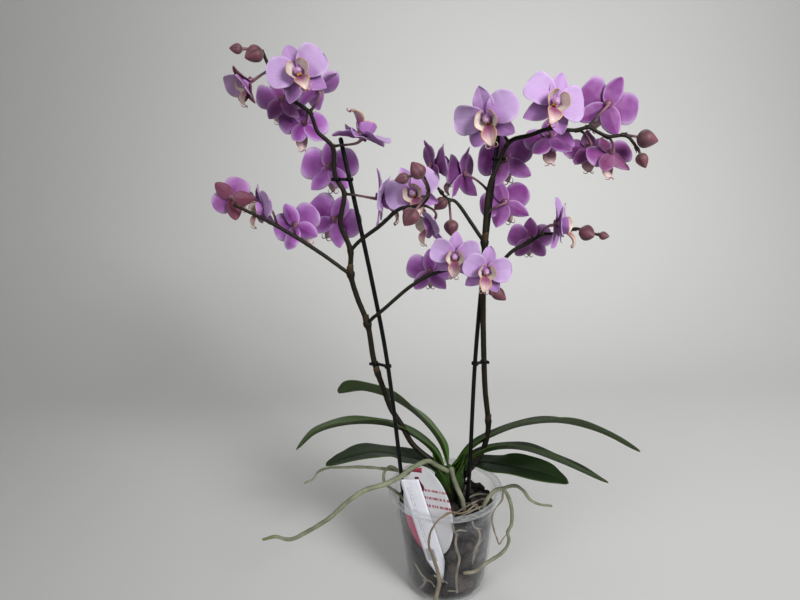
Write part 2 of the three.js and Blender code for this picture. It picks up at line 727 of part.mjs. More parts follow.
function tagPlacement(distance, turn, shift, height) {
  return new THREE.Matrix4()
    .makeRotationZ(radians(TAG.azimuth))
    .multiply(new THREE.Matrix4().makeTranslation(shift, -distance, height))
    .multiply(new THREE.Matrix4().makeRotationX(Math.PI / 2 + radians(TAG.lean)))
    .multiply(new THREE.Matrix4().makeRotationZ(radians(turn)));
}

function ovalTag(extra = 0) {
  const { width, height, centreHeight, distance, shift, turn } = TAG.oval;
  const shape = new THREE.Shape().absellipse(0, 0, width / 2 + extra, height / 2 + extra, 0, Math.PI * 2);
  const card = new THREE.ExtrudeGeometry(shape, {
    depth: TAG.thickness + extra * 2,
    bevelEnabled: false,
    curveSegments: 16,
  });
  card.translate(0, 0, -extra).applyMatrix4(tagPlacement(distance, turn, shift, centreHeight));
  return solid(card);
}

function stripTag(extra = 0) {
  const { width, length, shoulder, topHeight, distance, shift, turn } = TAG.strip;
  const half = width / 2 + extra;
  const shape = new THREE.Shape([
    new THREE.Vector2(-half, extra),
    new THREE.Vector2(-half, -shoulder),
    new THREE.Vector2(0, -length - extra),
    new THREE.Vector2(half, -shoulder),
    new THREE.Vector2(half, extra),
  ]);
  const card = new THREE.ExtrudeGeometry(shape, { depth: TAG.thickness + extra * 2, bevelEnabled: false });
  card.translate(0, 0, -extra).applyMatrix4(tagPlacement(distance, turn, shift, topHeight));
  return solid(card);
}

// ---- Roots ----

const makeRoot = (strands, extra = 0) => joined(strands.map((strand) => tube(strand, ROOT.sides, extra)));

function makeWallRoot(places, extra = 0) {
  const route = places.map(([x, z]) => {
    const radius = innerRadius(z) - WALL_ROOT.inset;
    return [x, -Math.sqrt(radius * radius - x * x), z];
  });
  const radii = [WALL_ROOT.radius, WALL_ROOT.radius];
  return tube({ route, radii, steps: WALL_ROOT.steps }, ROOT.sides, extra);
}

// ---- The orchid ----

const orchid = new THREE.Group();
const clearance = GAP + 0.1;
const crownSpace = crownShape(clearance);
const spikeSpaces = Object.values(SPIKES).map(({ stem }) => tube(stem, STEM.sides, clearance));

orchid.add(mesh('pot', makePot(), COLOURS.pot));
orchid.add(
  mesh(
    'substrate',
    makeSubstrate([
      crownSpace,
      ...Object.values(STAKES).map((route) => stakeTube(route, clearance)),
      ...Object.values(ROOTS).map((strands) => makeRoot(strands, clearance)),
      ...Object.values(WALL_ROOTS).map((places) => makeWallRoot(places, clearance)),
      ovalTag(clearance),
      stripTag(clearance),
    ]),
    COLOURS.bark,
  ),
);
orchid.add(mesh('crown', crownShape(), COLOURS.crown));

for (const [side, route] of Object.entries(STAKES)) {
  orchid.add(mesh(`stake_${side}`, stakeTube(route), COLOURS.stake));
}
for (const [name, clip] of Object.entries(CLIPS)) {
  orchid.add(mesh(name, makeClip(clip), COLOURS.clip));
}

orchid.add(mesh('tag_oval', ovalTag(), COLOURS.tag));
orchid.add(mesh('tag_strip', stripTag(), COLOURS.tag));

for (const [name, leaf] of Object.entries(LEAVES)) {
  orchid.add(mesh(name, cut(makeLeaf(leaf), [crownSpace, ...spikeSpaces]), COLOURS.leaf));
}

for (const [side, spike] of Object.entries(SPIKES)) {
  orchid.add(mesh(`spike_${side}`, cut(makeSpike(spike), [crownSpace]), COLOURS.stem));
  spike.blooms.map(full).forEach((bloom, i) => {
    const name = `bloom_${side}_${String(i + 1).padStart(2, '0')}`;
    const node = mesh(name, makeBloom(bloom), COLOURS.bloom);
    node.applyMatrix4(placement(bloom));
    orchid.add(node);
  });
}

for (const [name, strands] of Object.entries(ROOTS)) {
  orchid.add(mesh(name, cut(makeRoot(strands), [crownSpace]), COLOURS.root));
}
for (const [name, places] of Object.entries(WALL_ROOTS)) {
  orchid.add(mesh(name, makeWallRoot(places), COLOURS.root));
}

export default orchid;
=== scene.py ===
# %% [markdown]
# # A potted moth orchid
#
# A moth orchid grows from a short crown. Thick leaves arch to both sides, silvery roots wander over the
# rim of a clear pot, and two branched flower spikes are clipped to slim stakes. The solid model of all
# these pieces is already there, and it fixes every size and place. This lesson gives each piece its fine
# shape and its finish: most pieces are built again over their plain solid, which then stays hidden.

# %% Load the solid model and measure it
import math
import random

import bpy
import numpy as np
from mathutils import Matrix, Vector


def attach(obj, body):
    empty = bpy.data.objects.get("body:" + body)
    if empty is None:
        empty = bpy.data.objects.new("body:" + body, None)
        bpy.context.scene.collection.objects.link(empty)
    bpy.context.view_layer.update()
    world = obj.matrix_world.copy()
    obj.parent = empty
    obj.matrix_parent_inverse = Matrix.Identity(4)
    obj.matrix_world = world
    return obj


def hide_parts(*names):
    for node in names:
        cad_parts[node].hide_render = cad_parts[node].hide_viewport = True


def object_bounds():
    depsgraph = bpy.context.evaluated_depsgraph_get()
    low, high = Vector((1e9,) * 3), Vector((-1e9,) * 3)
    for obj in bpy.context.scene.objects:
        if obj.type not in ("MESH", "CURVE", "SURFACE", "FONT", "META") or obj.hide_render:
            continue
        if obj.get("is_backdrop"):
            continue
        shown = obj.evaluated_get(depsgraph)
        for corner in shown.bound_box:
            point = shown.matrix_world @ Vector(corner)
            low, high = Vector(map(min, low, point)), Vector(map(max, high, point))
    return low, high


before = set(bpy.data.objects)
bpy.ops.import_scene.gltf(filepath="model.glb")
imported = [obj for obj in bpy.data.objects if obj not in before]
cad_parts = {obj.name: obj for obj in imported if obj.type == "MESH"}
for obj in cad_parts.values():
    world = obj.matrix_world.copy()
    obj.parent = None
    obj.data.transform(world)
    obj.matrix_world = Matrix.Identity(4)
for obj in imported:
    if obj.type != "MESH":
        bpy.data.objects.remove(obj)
cad_low, cad_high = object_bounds()
MM = 0.001
print("solid model:", len(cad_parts), "nodes,", [round(side, 3) for side in cad_high - cad_low], "m")

# %% [markdown]
# ## The camera
#
# A product photograph of a tall plant is taken from a little above its pot, so the camera looks down by a
# few degrees. Three turns place it: it starts looking straight down, is tipped up by the pitch, and is
# rolled a little about its own axis, as a camera held by hand is.

# %% Place the camera
CAMERA = dict(at=(-42.5, -566, 462), pitch=14.4, roll=-1.6, lens=27, sensor=36)


def link(obj):
    bpy.context.scene.collection.objects.link(obj)
    return obj


def place_camera(at, pitch, roll, lens, sensor):
    """A camera that looks along +Y, tipped down by pitch and turned about its own axis by roll."""
    data = bpy.data.cameras.new("camera")
    data.lens = lens
    data.sensor_width = sensor
    camera = link(bpy.data.objects.new("camera", data))
    tip = Matrix.Rotation(math.radians(90 - pitch), 4, "X")
    turn = Matrix.Rotation(math.radians(roll), 4, "Z")
    camera.matrix_world = Matrix.Translation(Vector(at) * MM) @ tip @ turn
    bpy.context.scene.camera = camera


place_camera(**CAMERA)
print("camera:", CAMERA["lens"], "mm lens, looking down by", CAMERA["pitch"], "degrees")

# %% [markdown]
# ## Light and backdrop
#
# The plant stands on a pale sweep: a sheet of paper that runs up behind it in one soft curve, so no
# horizon shows. One large light in front and above gives the petals their soft shading, a weaker one
# opens the shadows, a faint one behind touches the rims, and the grey world lights the rest. Large
# lights are what make shadows soft. Their beams are narrow, so the paper is brightest behind the plant.

# %% Build the sweep and the lights
SWEEP = dict(front=-6.0, back=0.5, curve=0.7, height=4.0, half_width=6.0)
LIGHTS = dict(
    key=dict(at=(0.95, -1.25, 1.25), target=(0.04, 1.0, 0.4), size=0.8, spread=86, power=11.7),
    fill=dict(at=(-1.3, -1.4, 1.1), target=(0, 0, 0.3), size=1.2, spread=50, power=1.5),
    back=dict(at=(-0.35, 0.95, 1.5), target=(0, 0, 0.35), size=0.9, spread=36, power=0.25),
)
WORLD = (0.84, 0.835, 0.84, 0.26)


def srgb(red, green, blue):
    """A colour picked from 0 to 255, as the linear values that shaders take."""
    shares = [value / 255 for value in (red, green, blue)]
    return (*(s / 12.92 if s <= 0.04045 else ((s + 0.055) / 1.055) ** 2.4 for s in shares), 1.0)


def feed(tree, node, inputs):
    """Puts values, or other nodes' sockets, on a node's inputs."""
    for key, value in inputs.items():
        if isinstance(value, bpy.types.NodeSocket):
            tree.links.new(value, node.inputs[key])
        else:
            node.inputs[key].default_value = value


def add(tree, kind, inputs=None, **settings):
    """A new node with its settings and its inputs."""
    node = tree.nodes.new(kind)
    for name, value in settings.items():
        setattr(node, name, value)
    feed(tree, node, inputs or {})
    return node


def mixed(tree, factor, first, second):
    """A colour between two colours. Each of the three may be a socket."""
    return add(tree, "ShaderNodeMix", {0: factor, 6: first, 7: second}, data_type="RGBA").outputs[2]


def object_place(tree):
    return add(tree, "ShaderNodeTexCoord").outputs["Object"]


def material(name):
    """A new material, its node tree and its Principled shader."""
    made = bpy.data.materials.new(name)
    made.use_nodes = True
    return made, made.node_tree, made.node_tree.nodes["Principled BSDF"]


def backdrop_finish():
    made, tree, shader = material("backdrop_paper")
    cloud = add(tree, "ShaderNodeTexNoise", {"Vector": object_place(tree), "Scale": 0.8, "Detail": 2.0})
    paper = mixed(tree, cloud.outputs["Fac"], srgb(206, 206, 205), srgb(211, 211, 209))
    feed(tree, shader, {"Base Color": paper, "Roughness": 0.9, "Specular IOR Level": 0.2})
    return made


def sweep(front, back, curve, height, half_width):
    """The floor and the wall behind it, as one sheet."""
    turns = [math.radians(angle) for angle in range(0, 91, 6)]
    profile = [(front, 0.0), *((back + curve * math.sin(t), curve * (1 - math.cos(t))) for t in turns)]
    profile.append((back + curve, height))
    points = [(side, y, z) for y, z in profile for side in (-half_width, half_width)]
    faces = [(2 * i, 2 * i + 1, 2 * i + 3, 2 * i + 2) for i in range(len(profile) - 1)]
    mesh = bpy.data.meshes.new("sweep")
    mesh.from_pydata(points, [], faces)
    mesh.materials.append(backdrop_finish())
    mesh.shade_smooth()
    link(bpy.data.objects.new("sweep", mesh))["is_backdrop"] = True


def area_light(name, at, target, size, spread, power):
    """A round soft light. Its spread is the angle of its beam, so it fades towards the sides."""
    data = bpy.data.lights.new(name, "AREA")
    data.spread = math.radians(spread)
    data.shape = "DISK"
    data.size = size
    data.energy = power
    light = link(bpy.data.objects.new(name, data))
    light.location = at
    light.rotation_euler = (Vector(target) - Vector(at)).to_track_quat("-Z", "Y").to_euler()


def light_world(red, green, blue, strength):
    world = bpy.data.worlds.new("soft_room")
    world.use_nodes = True
    background = world.node_tree.nodes["Background"]
    background.inputs["Color"].default_value = (red, green, blue, 1)
    background.inputs["Strength"].default_value = strength
    bpy.context.scene.world = world


sweep(**SWEEP)
for light_name, light in LIGHTS.items():
    area_light(light_name, **light)
light_world(*WORLD)
bpy.context.scene.view_settings.view_transform = "Standard"
print("lights:", ", ".join(f"{name} {light['power']} W" for name, light in LIGHTS.items()))

# %% [markdown]
# ## Smooth paths
#
# Stems, roots, stakes and midribs all follow a few chosen points. A centripetal Catmull-Rom curve goes
# through every one of them without loops or overshoot, and evenly spaced points along it keep the
# faces of a tube or a leaf the same length all the way.


# %% Turn a few chosen points into an even, smooth path
def evenly(line, count):
    """count points at equal distances along a line of many points."""
    steps = np.linalg.norm(np.diff(line, axis=0), axis=1)
    reach = np.concatenate([[0.0], np.cumsum(steps)])
    wanted = np.linspace(0, reach[-1], count)
    return np.stack([np.interp(wanted, reach, line[:, axis]) for axis in range(3)], axis=1)


def between(before, after, from_knot, to_knot, place):
    """The point on the line from before to after at a place between their two knots."""
    return ((to_knot - place) * before + (place - from_knot) * after) / (to_knot - from_knot)


def smooth_path(route, count):
    """count even points, in metres, along a smooth curve through a route in millimetres."""
    points = np.array(route, float) * MM
    points = np.vstack([2 * points[0] - points[1], points, 2 * points[-1] - points[-2]])
    stretches = []
    for four in zip(points, points[1:], points[2:], points[3:]):
        gaps = [np.linalg.norm(b - a) ** 0.5 for a, b in zip(four, four[1:])]
        k = np.concatenate([[0.0], np.cumsum(gaps)])
        t = np.linspace(k[1], k[2], 16, endpoint=False)[:, None]
        one = [between(four[i], four[i + 1], k[i], k[i + 1], t) for i in range(3)]
        two = [between(one[i], one[i + 1], k[i], k[i + 2], t) for i in range(2)]
        stretches.append(between(two[0], two[1], k[1], k[2], t))
    return evenly(np.vstack([*stretches, points[-2][None]]), count)


def unit(vectors):
    return vectors / np.maximum(np.linalg.norm(vectors, axis=-1, keepdims=True), 1e-12)


def square_to(direction, vector):
    """The unit vector that is square to a direction and leans the way of a vector."""
    return unit(vector - direction * np.dot(vector, direction))


arch = smooth_path([[0, 0, 0], [10, 0, 10], [20, 0, 0]], 5) / MM
print("five even points on an arch through three:", arch.round(1).tolist())

# %% [markdown]
# ## Collecting surfaces
#
# A bloom is one piece, but it has tepals, a lip and a column. `Pile` gathers such surfaces with their UV
# coordinates and a few painted marks, and makes one mesh of them. `shell` gives a grid of points a front,
# a back and a rim, which is how every thin blade here becomes a closed solid, and `loft` closes a row
# of rings at both ends.


# %% Gather surfaces into one mesh
class Pile:
    """Points, UVs, marks and blocks of faces of the surfaces that make up one piece."""

    def __init__(self):
        self.points, self.uvs, self.marks, self.blocks, self.slots = [], [], [], [], []
        self.count = 0

    def add(self, points, blocks, uvs, marks=(0, 0, 0), slot=0):
        self.points.append(points)
        self.uvs.append(uvs)
        self.marks.append(np.broadcast_to(np.asarray(marks, float), (len(points), 3)))
        for block in blocks:
            self.blocks.append(block + self.count)
            self.slots.append(np.full(len(block), slot))
        self.count += len(points)

    def moved(self, matrix):
        """The same pile with every point taken through a matrix."""
        turn = np.array(matrix.to_3x3())
        self.points = [points @ turn.T + np.array(matrix.translation) for points in self.points]
        return self

    def make(self, name, materials):
        faces = [face for block in self.blocks for face in block.tolist()]
        corners = np.concatenate([block.ravel() for block in self.blocks])
        mesh = bpy.data.meshes.new(name)
        mesh.from_pydata(np.vstack(self.points).tolist(), [], faces)
        for each in materials:
            mesh.materials.append(each)
        mesh.polygons.foreach_set("material_index", np.concatenate(self.slots))
        uv_map = mesh.uv_layers.new(name="UVMap")
        uv_map.data.foreach_set("uv", np.vstack(self.uvs)[corners].ravel())
        marks = mesh.attributes.new("marks", "FLOAT_COLOR", "POINT")
        colours = np.hstack([np.vstack(self.marks), np.ones((self.count, 1))])
        marks.data.foreach_set("color", colours.astype(np.float32).ravel())
        mesh.shade_smooth()
        return link(bpy.data.objects.new(name, mesh))


def grid_faces(rows, columns, closed=False):
    """The quads of a grid of points, which closes on itself along its columns if asked."""
    i, j = np.meshgrid(np.arange(rows - 1), np.arange(columns if closed else columns - 1), indexing="ij")
    after = (j + 1) % columns
    corners = [i * columns + j, i * columns + after, (i + 1) * columns + after, (i + 1) * columns + j]
    return np.stack(corners, -1).reshape(-1, 4)


def grid_normals(middle):
    along = np.gradient(middle, axis=0)
    across = np.gradient(middle, axis=1)
    return unit(np.cross(across, along))


def shell(pile, middle, thickness, marks=(0, 0, 0), slot=0):
    """A closed blade round a grid of points. The second mark is set to 1 on its front and 0 on its back."""
    rows, columns, _ = middle.shape
    offset = grid_normals(middle) * np.asarray(thickness)[..., None] / 2
    front, back = (middle + offset).reshape(-1, 3), (middle - offset).reshape(-1, 3)
    top = grid_faces(rows, columns)
    size = rows * columns
    index = np.arange(size).reshape(rows, columns)
    edge = np.concatenate([index[0, :-1], index[:-1, -1], index[-1, :0:-1], index[:0:-1, 0]])
    following = np.roll(edge, -1)
    rim = np.stack([following, edge, edge + size, following + size], -1)
    u, v = np.meshgrid(np.linspace(0, 1, columns), np.linspace(0, 1, rows))
    uvs = np.stack([u.ravel(), v.ravel()], -1)
    painted = np.tile(np.array([marks[0], 0.0, marks[2]]), (2 * size, 1))
    painted[:size, 1] = 1.0
    faces = [top, top[:, ::-1] + size, rim]
    pile.add(np.vstack([front, back]), faces, np.vstack([uvs, uvs]), painted, slot)


def frames(line):
    """Two directions square to a line at each of its points, turning as little as they can."""
    along = unit(np.gradient(line, axis=0))
    side = unit(np.cross(along[0], [0.31, 0.17, 0.93]))
    sides = []
    for direction in along:
        side = square_to(direction, side)
        sides.append(side)
    sides = np.array(sides)
    return sides, np.cross(along, sides)


def loft(pile, rings, marks=(0, 0, 0), slot=0):
    """A closed body through rings of points, with a point in the middle of each end."""
    rows, columns, _ = rings.shape
    faces = grid_faces(rows, columns, closed=True)
    ends = np.stack([rings[0].mean(axis=0), rings[-1].mean(axis=0)])
    j = np.arange(columns)
    after = (j + 1) % columns
    last = (rows - 1) * columns
    start = np.stack([after, j, np.full(columns, rows * columns)], -1)
    finish = np.stack([last + j, last + after, np.full(columns, rows * columns + 1)], -1)
    u, v = np.meshgrid(np.linspace(0, 1, columns), np.linspace(0, 1, rows))
    uvs = np.vstack([np.stack([u.ravel(), v.ravel()], -1), [[0.5, 0], [0.5, 1]]])
    pile.add(np.vstack([rings.reshape(-1, 3), ends]), [faces, start, finish], uvs, marks, slot)


def full_turn(sides):
    """Angles at even steps, once round."""
    return np.linspace(0, 2 * math.pi, sides, endpoint=False)


def rings_along(line, radii, sides):
    """Rings round a line, one for each of its points."""
    first, second = frames(line)
    turns = full_turn(sides)[None, :, None]
    spread = np.cos(turns) * first[:, None] + np.sin(turns) * second[:, None]
    return line[:, None] + spread * np.asarray(radii)[:, None, None]


print("quads of a grid of 4 by 3 points:", len(grid_faces(4, 3)), "or closed", len(grid_faces(4, 3, True)))

# %% [markdown]
# ## Shared shader groups
#
# Living surfaces are never one flat colour. Three effects come back on many pieces, so each is a node
# group: `Mottling` gives cloudy patches and a fine grain, `Veins` draws the lines that fan out from a
# blade's base with a mask of its pale edge, and `Wear` draws the hairline scratches of handled plastic.


# %% Build the shared shader groups
def shader_group(name, inputs, outputs):
    """An empty group with named sockets, what its input node gives and its output node."""
    group = bpy.data.node_groups.new(name, "ShaderNodeTree")
    for label, kind, value in inputs:
        socket = group.interface.new_socket(label, in_out="INPUT", socket_type="NodeSocket" + kind)
        if value is not None:
            socket.default_value = value
    for label in outputs:
        group.interface.new_socket(label, in_out="OUTPUT", socket_type="NodeSocketFloat")
    return group, group.nodes.new("NodeGroupInput").outputs, group.nodes.new("NodeGroupOutput")


def maths(tree, operation, first, second=0.5):
    return add(tree, "ShaderNodeMath", {0: first, 1: second}, operation=operation).outputs[0]


def times(tree, *values):
    """The product of numbers and sockets."""
    product = values[0]
    for value in values[1:]:
        product = maths(tree, "MULTIPLY", product, value)
    return product


def distance_from(tree, value, centre=0.5):
    return maths(tree, "ABSOLUTE", maths(tree, "SUBTRACT", value, centre))


def zigzag(tree, value, count):
    """Rises from 0 to 0.5 and falls again, count times for each two units of the value."""
    return maths(tree, "PINGPONG", times(tree, value, count), 0.5)


def ramp(tree, value, low, high, to_low=0.0, to_high=1.0):
    """A smooth step of a value from low to high, clamped."""
    inputs = {"Value": value, "From Min": low, "From Max": high, "To Min": to_low, "To Max": to_high}
    return add(tree, "ShaderNodeMapRange", inputs, interpolation_type="SMOOTHSTEP").outputs[0]


def noise(tree, inputs, **settings):
    return add(tree, "ShaderNodeTexNoise", inputs, **settings).outputs["Fac"]


def split(tree, vector):
    return add(tree, "ShaderNodeSeparateXYZ", {0: vector}).outputs


def mottling_group():
    inputs = [("Vector", "Vector", None), ("Patch Scale", "Float", 60.0), ("Grain Scale", "Float", 900.0)]
    group, given, result = shader_group("Mottling", inputs, ["Patches", "Grain"])
    patches = noise(group, {"Vector": given["Vector"], "Scale": given["Patch Scale"], "Detail": 3.0})
    grain = noise(group, {"Vector": given["Vector"], "Scale": given["Grain Scale"], "Detail": 2.0})
    feed(group, result, {"Patches": ramp(group, patches, 0.3, 0.7), "Grain": grain})
    return group


def veins_group():
    inputs = [("UV", "Vector", None), ("Count", "Float", 9.0), ("Wander", "Float", 0.05)]
    group, given, result = shader_group("Veins", inputs, ["Veins", "Edge", "Middle", "Along"])
    parts = split(group, given["UV"])
    stretched = add(group, "ShaderNodeMapping", {"Vector": given["UV"], "Scale": (3.0, 5.0, 1.0)})
    cloud = noise(group, {"Vector": stretched.outputs[0], "Scale": 2.0, "Detail": 3.0})
    drift = times(group, maths(group, "SUBTRACT", cloud), given["Wander"])
    fanned = zigzag(group, maths(group, "ADD", parts["X"], drift), given["Count"])
    lines = ramp(group, fanned, 0.0, 0.16, 1.0, 0.0)
    fading = ramp(group, parts["Y"], 0.62, 0.97, 1.0, 0.15)
    from_middle = distance_from(group, parts["X"])
    side_edge = ramp(group, from_middle, 0.36, 0.5)
    tip_edge = ramp(group, parts["Y"], 0.9, 1.0)
    feed(group, result, {
        "Veins": times(group, lines, fading), "Edge": maths(group, "MAXIMUM", side_edge, tip_edge),
        "Middle": ramp(group, from_middle, 0.0, 0.05, 1.0, 0.0), "Along": parts["Y"]})
    return group


def wear_group():
    inputs = [("Vector", "Vector", None), ("Scale", "Float", 40.0)]
    group, given, result = shader_group("Wear", inputs, ["Scratches", "Haze"])
    turning = {"Vector": given["Vector"], "Scale": (1.0, 1.0, 7.0), "Rotation": (0.5, 0.9, 0.3)}
    turned = add(group, "ShaderNodeMapping", turning).outputs[0]
    cells = add(group, "ShaderNodeTexVoronoi", {"Vector": turned, "Scale": given["Scale"]},
                feature="DISTANCE_TO_EDGE").outputs["Distance"]
    haze = noise(group, {
        "Vector": given["Vector"], "Scale": given["Scale"], "Detail": 4.0, "Roughness": 0.65})
    scratches = ramp(group, cells, 0.0, 0.03, 1.0, 0.0)
    feed(group, result, {"Scratches": scratches, "Haze": ramp(group, haze, 0.35, 0.75)})
    return group


MOTTLING, VEINS, WEAR = mottling_group(), veins_group(), wear_group()


def place_group(tree, group, inputs):
    return add(tree, "ShaderNodeGroup", inputs, node_tree=group).outputs


def mottled(tree, patch_scale, grain_scale):
    """Mottling in the piece's own coordinates."""
    inputs = {"Vector": object_place(tree), "Patch Scale": patch_scale, "Grain Scale": grain_scale}
    return place_group(tree, MOTTLING, inputs)


def uv_of(tree):
    return add(tree, "ShaderNodeUVMap", uv_map="UVMap").outputs[0]


def veined(tree, count, wander):
    """Veins along a blade's own UV map."""
    return place_group(tree, VEINS, {"UV": uv_of(tree), "Count": count, "Wander": wander})


def attribute(tree, name, output="Fac"):
    return add(tree, "ShaderNodeAttribute", attribute_name=name).outputs[output]


def marks_of(tree):
    """The painted marks of a piece: Red, Green and Blue."""
    return add(tree, "ShaderNodeSeparateColor", {0: attribute(tree, "marks", "Color")}).outputs


def grainy(tree, cloud, low, high):
    """A roughness between two values that follows the fine grain of a mottling."""
    return ramp(tree, cloud["Grain"], 0.3, 0.7, low, high)


def bump(tree, shader, height, distance, strength=0.6):
    normal = add(tree, "ShaderNodeBump", {"Height": height, "Distance": distance, "Strength": strength})
    feed(tree, shader, {"Normal": normal.outputs[0]})


print("shader groups:", ", ".join(group.name for group in (MOTTLING, VEINS, WEAR)))

# %% [markdown]
# ## The clear pot
#
# The pot is thin clear plastic, thermoformed in one shot: a flat rim, a wall that leans outwards, and a
# rounded foot with drain holes. Turning a profile gives the walls their even 1 mm. The holes are cut
# through the floor, where a ring of short walls closes the cut. Clear plastic is shown here with a low
# alpha that rises where the surface is seen at a slant, because that keeps the light on the bark inside.

# %% Turn the pot and give it a clear, slightly milky finish
POT = dict(height=112, foot=43, top=54, rim=60, neck=108, wall=1.0, floor=1.6, fillet=4, sides=96)
STEP = dict(low=96, high=105, out=0.5)
BANDS = (12, 30, 60)
DRAIN = dict(count=6, radius=3, ring=29, depth=20, sides=24)


def pot_radius(height):
    """The outside radius of the wall at a height, both in millimetres."""
    return POT["foot"] + (POT["top"] - POT["foot"]) * height / POT["neck"]


def pot_profile():
    """The outline from the underside up the wall, round the rim and down the inside: (radius, height)."""
    fillet, wall, floor, rim, top = (POT[size] for size in ("fillet", "wall", "floor", "rim", "top"))
    out, low, high = STEP["out"], STEP["low"], STEP["high"]
    curve = [math.radians(angle) for angle in range(0, 91, 15)]
    foot = [(POT["foot"] - fillet * (1 - math.sin(a)), fillet * (1 - math.cos(a))) for a in curve]
    side = [(pot_radius(z), z) for z in (*BANDS, 86, low)]
    step = [(pot_radius(low + 1) + out, low + 1), (pot_radius(high) + out, high), (top + 1.2, 107.4)]
    edge = [(rim - 1.4, 107.6), (rim - 0.4, 108), (rim, 108.9), (rim, 110.8), (rim - 0.3, 111.7)]
    lip = [(rim - 1, POT["height"]), (rim - 4.8, POT["height"]), (rim - 5.8, 111.6), (top - 0.7, 110.4)]
    inner = [(top - wall + 0.4, high + 1), (pot_radius(low + 1) - wall + out, low + 1)]
    inner += [(pot_radius(z) - wall, z) for z in (low - 0.5, *BANDS[::-1], fillet + floor)]
    bend = POT["foot"] - wall
    turn = [(bend - fillet * (1 - math.cos(a)), floor + fillet * (1 - math.sin(a))) for a in curve]
    return foot + side + step + edge + lip + inner + turn


def clear_plastic():
    made, tree, shader = material("clear_pot_plastic")
    place = object_place(tree)
    wear = place_group(tree, WEAR, {"Vector": place, "Scale": 45.0})
    slant = add(tree, "ShaderNodeLayerWeight", {"Blend": 0.3}).outputs["Facing"]
    thick_rim = ramp(tree, split(tree, place)["Z"], 0.1065, 0.1085, 0.0, 0.24)
    clear = maths(tree, "ADD", ramp(tree, slant, 0.2, 1.0, 0.012, 0.5), thick_rim)
    hazy = maths(tree, "ADD", clear, times(tree, wear["Haze"], 0.038))
    feed(tree, shader, {
        "Base Color": mixed(tree, wear["Haze"], srgb(190, 194, 198), srgb(216, 218, 220)),
        "Alpha": maths(tree, "ADD", hazy, times(tree, wear["Scratches"], 0.035)),
        "Roughness": ramp(tree, wear["Haze"], 0.0, 1.0, 0.08, 0.2),
        "IOR": 1.5, "Specular IOR Level": 1.0, "Coat Weight": 0.5, "Coat Roughness": 0.06})
    return made


def turned_rings(profile, sides):
    """The rings that a profile in millimetres leaves when it is turned round the pot's axis."""
    turns = full_turn(sides)
    circle = np.stack([np.cos(turns), np.sin(turns)], -1)
    outline = np.array(profile) * MM
    flat = outline[:, 0, None, None] * circle[None]
    heights = np.repeat(outline[:, 1, None, None], sides, axis=1)
    return np.concatenate([flat, heights], axis=-1)


def finish_piece(obj, slot, *nodes):
    """Hides the plain solids of the nodes that a piece stands for and hangs the piece on the plant. Its
    slot, the name of its finish, is not used.
    """
    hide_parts(*nodes)
    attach(obj, "root")
    return obj


def drill(angle):
    """A rod to cut one drain hole with."""
    at = Vector((math.cos(angle), math.sin(angle), 0)) * DRAIN["ring"] * MM
    bpy.ops.mesh.primitive_cylinder_add(
        vertices=DRAIN["sides"], radius=DRAIN["radius"] * MM, depth=DRAIN["depth"] * MM, location=at)
    return bpy.context.object


def make_pot():
    pile = Pile()
    loft(pile, turned_rings(pot_profile(), POT["sides"]))
    pot = pile.make("clear_pot", [clear_plastic()])
    drills = [drill(angle) for angle in full_turn(DRAIN["count"])]
    for rod in drills:
        cut = pot.modifiers.new("drain", "BOOLEAN")
        cut.operation, cut.object, cut.solver = "DIFFERENCE", rod, "EXACT"
    evaluated = pot.evaluated_get(bpy.context.evaluated_depsgraph_get())
    pot.data = bpy.data.meshes.new_from_object(evaluated)
    pot.modifiers.clear()
    for rod in drills:
        bpy.data.objects.remove(rod)
    return finish_piece(pot, "clear_plastic", "pot")


pot = make_pot()
print("pot:", len(pot.data.vertices), "points, rim", 2 * POT["rim"], "mm across")

# %% [markdown]
# ## Tubes that follow a path
#
# Stems, stalks, stakes and roots are all strands: round, tapering and slightly lumpy. A Geometry Nodes
# tree sweeps a circle along each path and scales it by the thickness stored on the path's points, then
# pushes the skin in and out with a noise. One tree serves them all, with its sizes as named inputs.


# %% Build the strand tree
def geometry_tree(name, inputs):
    """A geometry tree with named inputs, a Finish and one geometry output."""
    tree = bpy.data.node_groups.new(name, "GeometryNodeTree")
    tree.interface.new_socket("Geometry", in_out="INPUT", socket_type="NodeSocketGeometry")
    for label, kind, value in inputs:
        socket = tree.interface.new_socket(label, in_out="INPUT", socket_type="NodeSocket" + kind)
        socket.default_value = value
    tree.interface.new_socket("Finish", in_out="INPUT", socket_type="NodeSocketMaterial")
    tree.interface.new_socket("Geometry", in_out="OUTPUT", socket_type="NodeSocketGeometry")
    return tree, tree.nodes.new("NodeGroupInput").outputs, tree.nodes.new("NodeGroupOutput")


def finish_tree(tree, geometry, given, result):
    """Ends a tree: real geometry instead of instances, and the finish."""
    real = add(tree, "GeometryNodeRealizeInstances", {0: geometry}).outputs[0]
    made = add(tree, "GeometryNodeSetMaterial", {"Geometry": real, "Material": given["Finish"]})
    feed(tree, result, {"Geometry": made.outputs[0]})


def pushed(tree, geometry, scale, seed, reach):
    """Pushes a skin along its normals by a noise, by half of reach either way."""
    lumps = noise(tree, {"Scale": scale, "W": seed, "Detail": 2.0}, noise_dimensions="4D")
    amount = times(tree, maths(tree, "SUBTRACT", lumps), reach)
    normal = add(tree, "GeometryNodeInputNormal").outputs[0]
    offset = add(tree, "ShaderNodeVectorMath", {0: normal, "Scale": amount}, operation="SCALE").outputs[0]
    return add(tree, "GeometryNodeSetPosition", {"Geometry": geometry, "Offset": offset}).outputs[0]


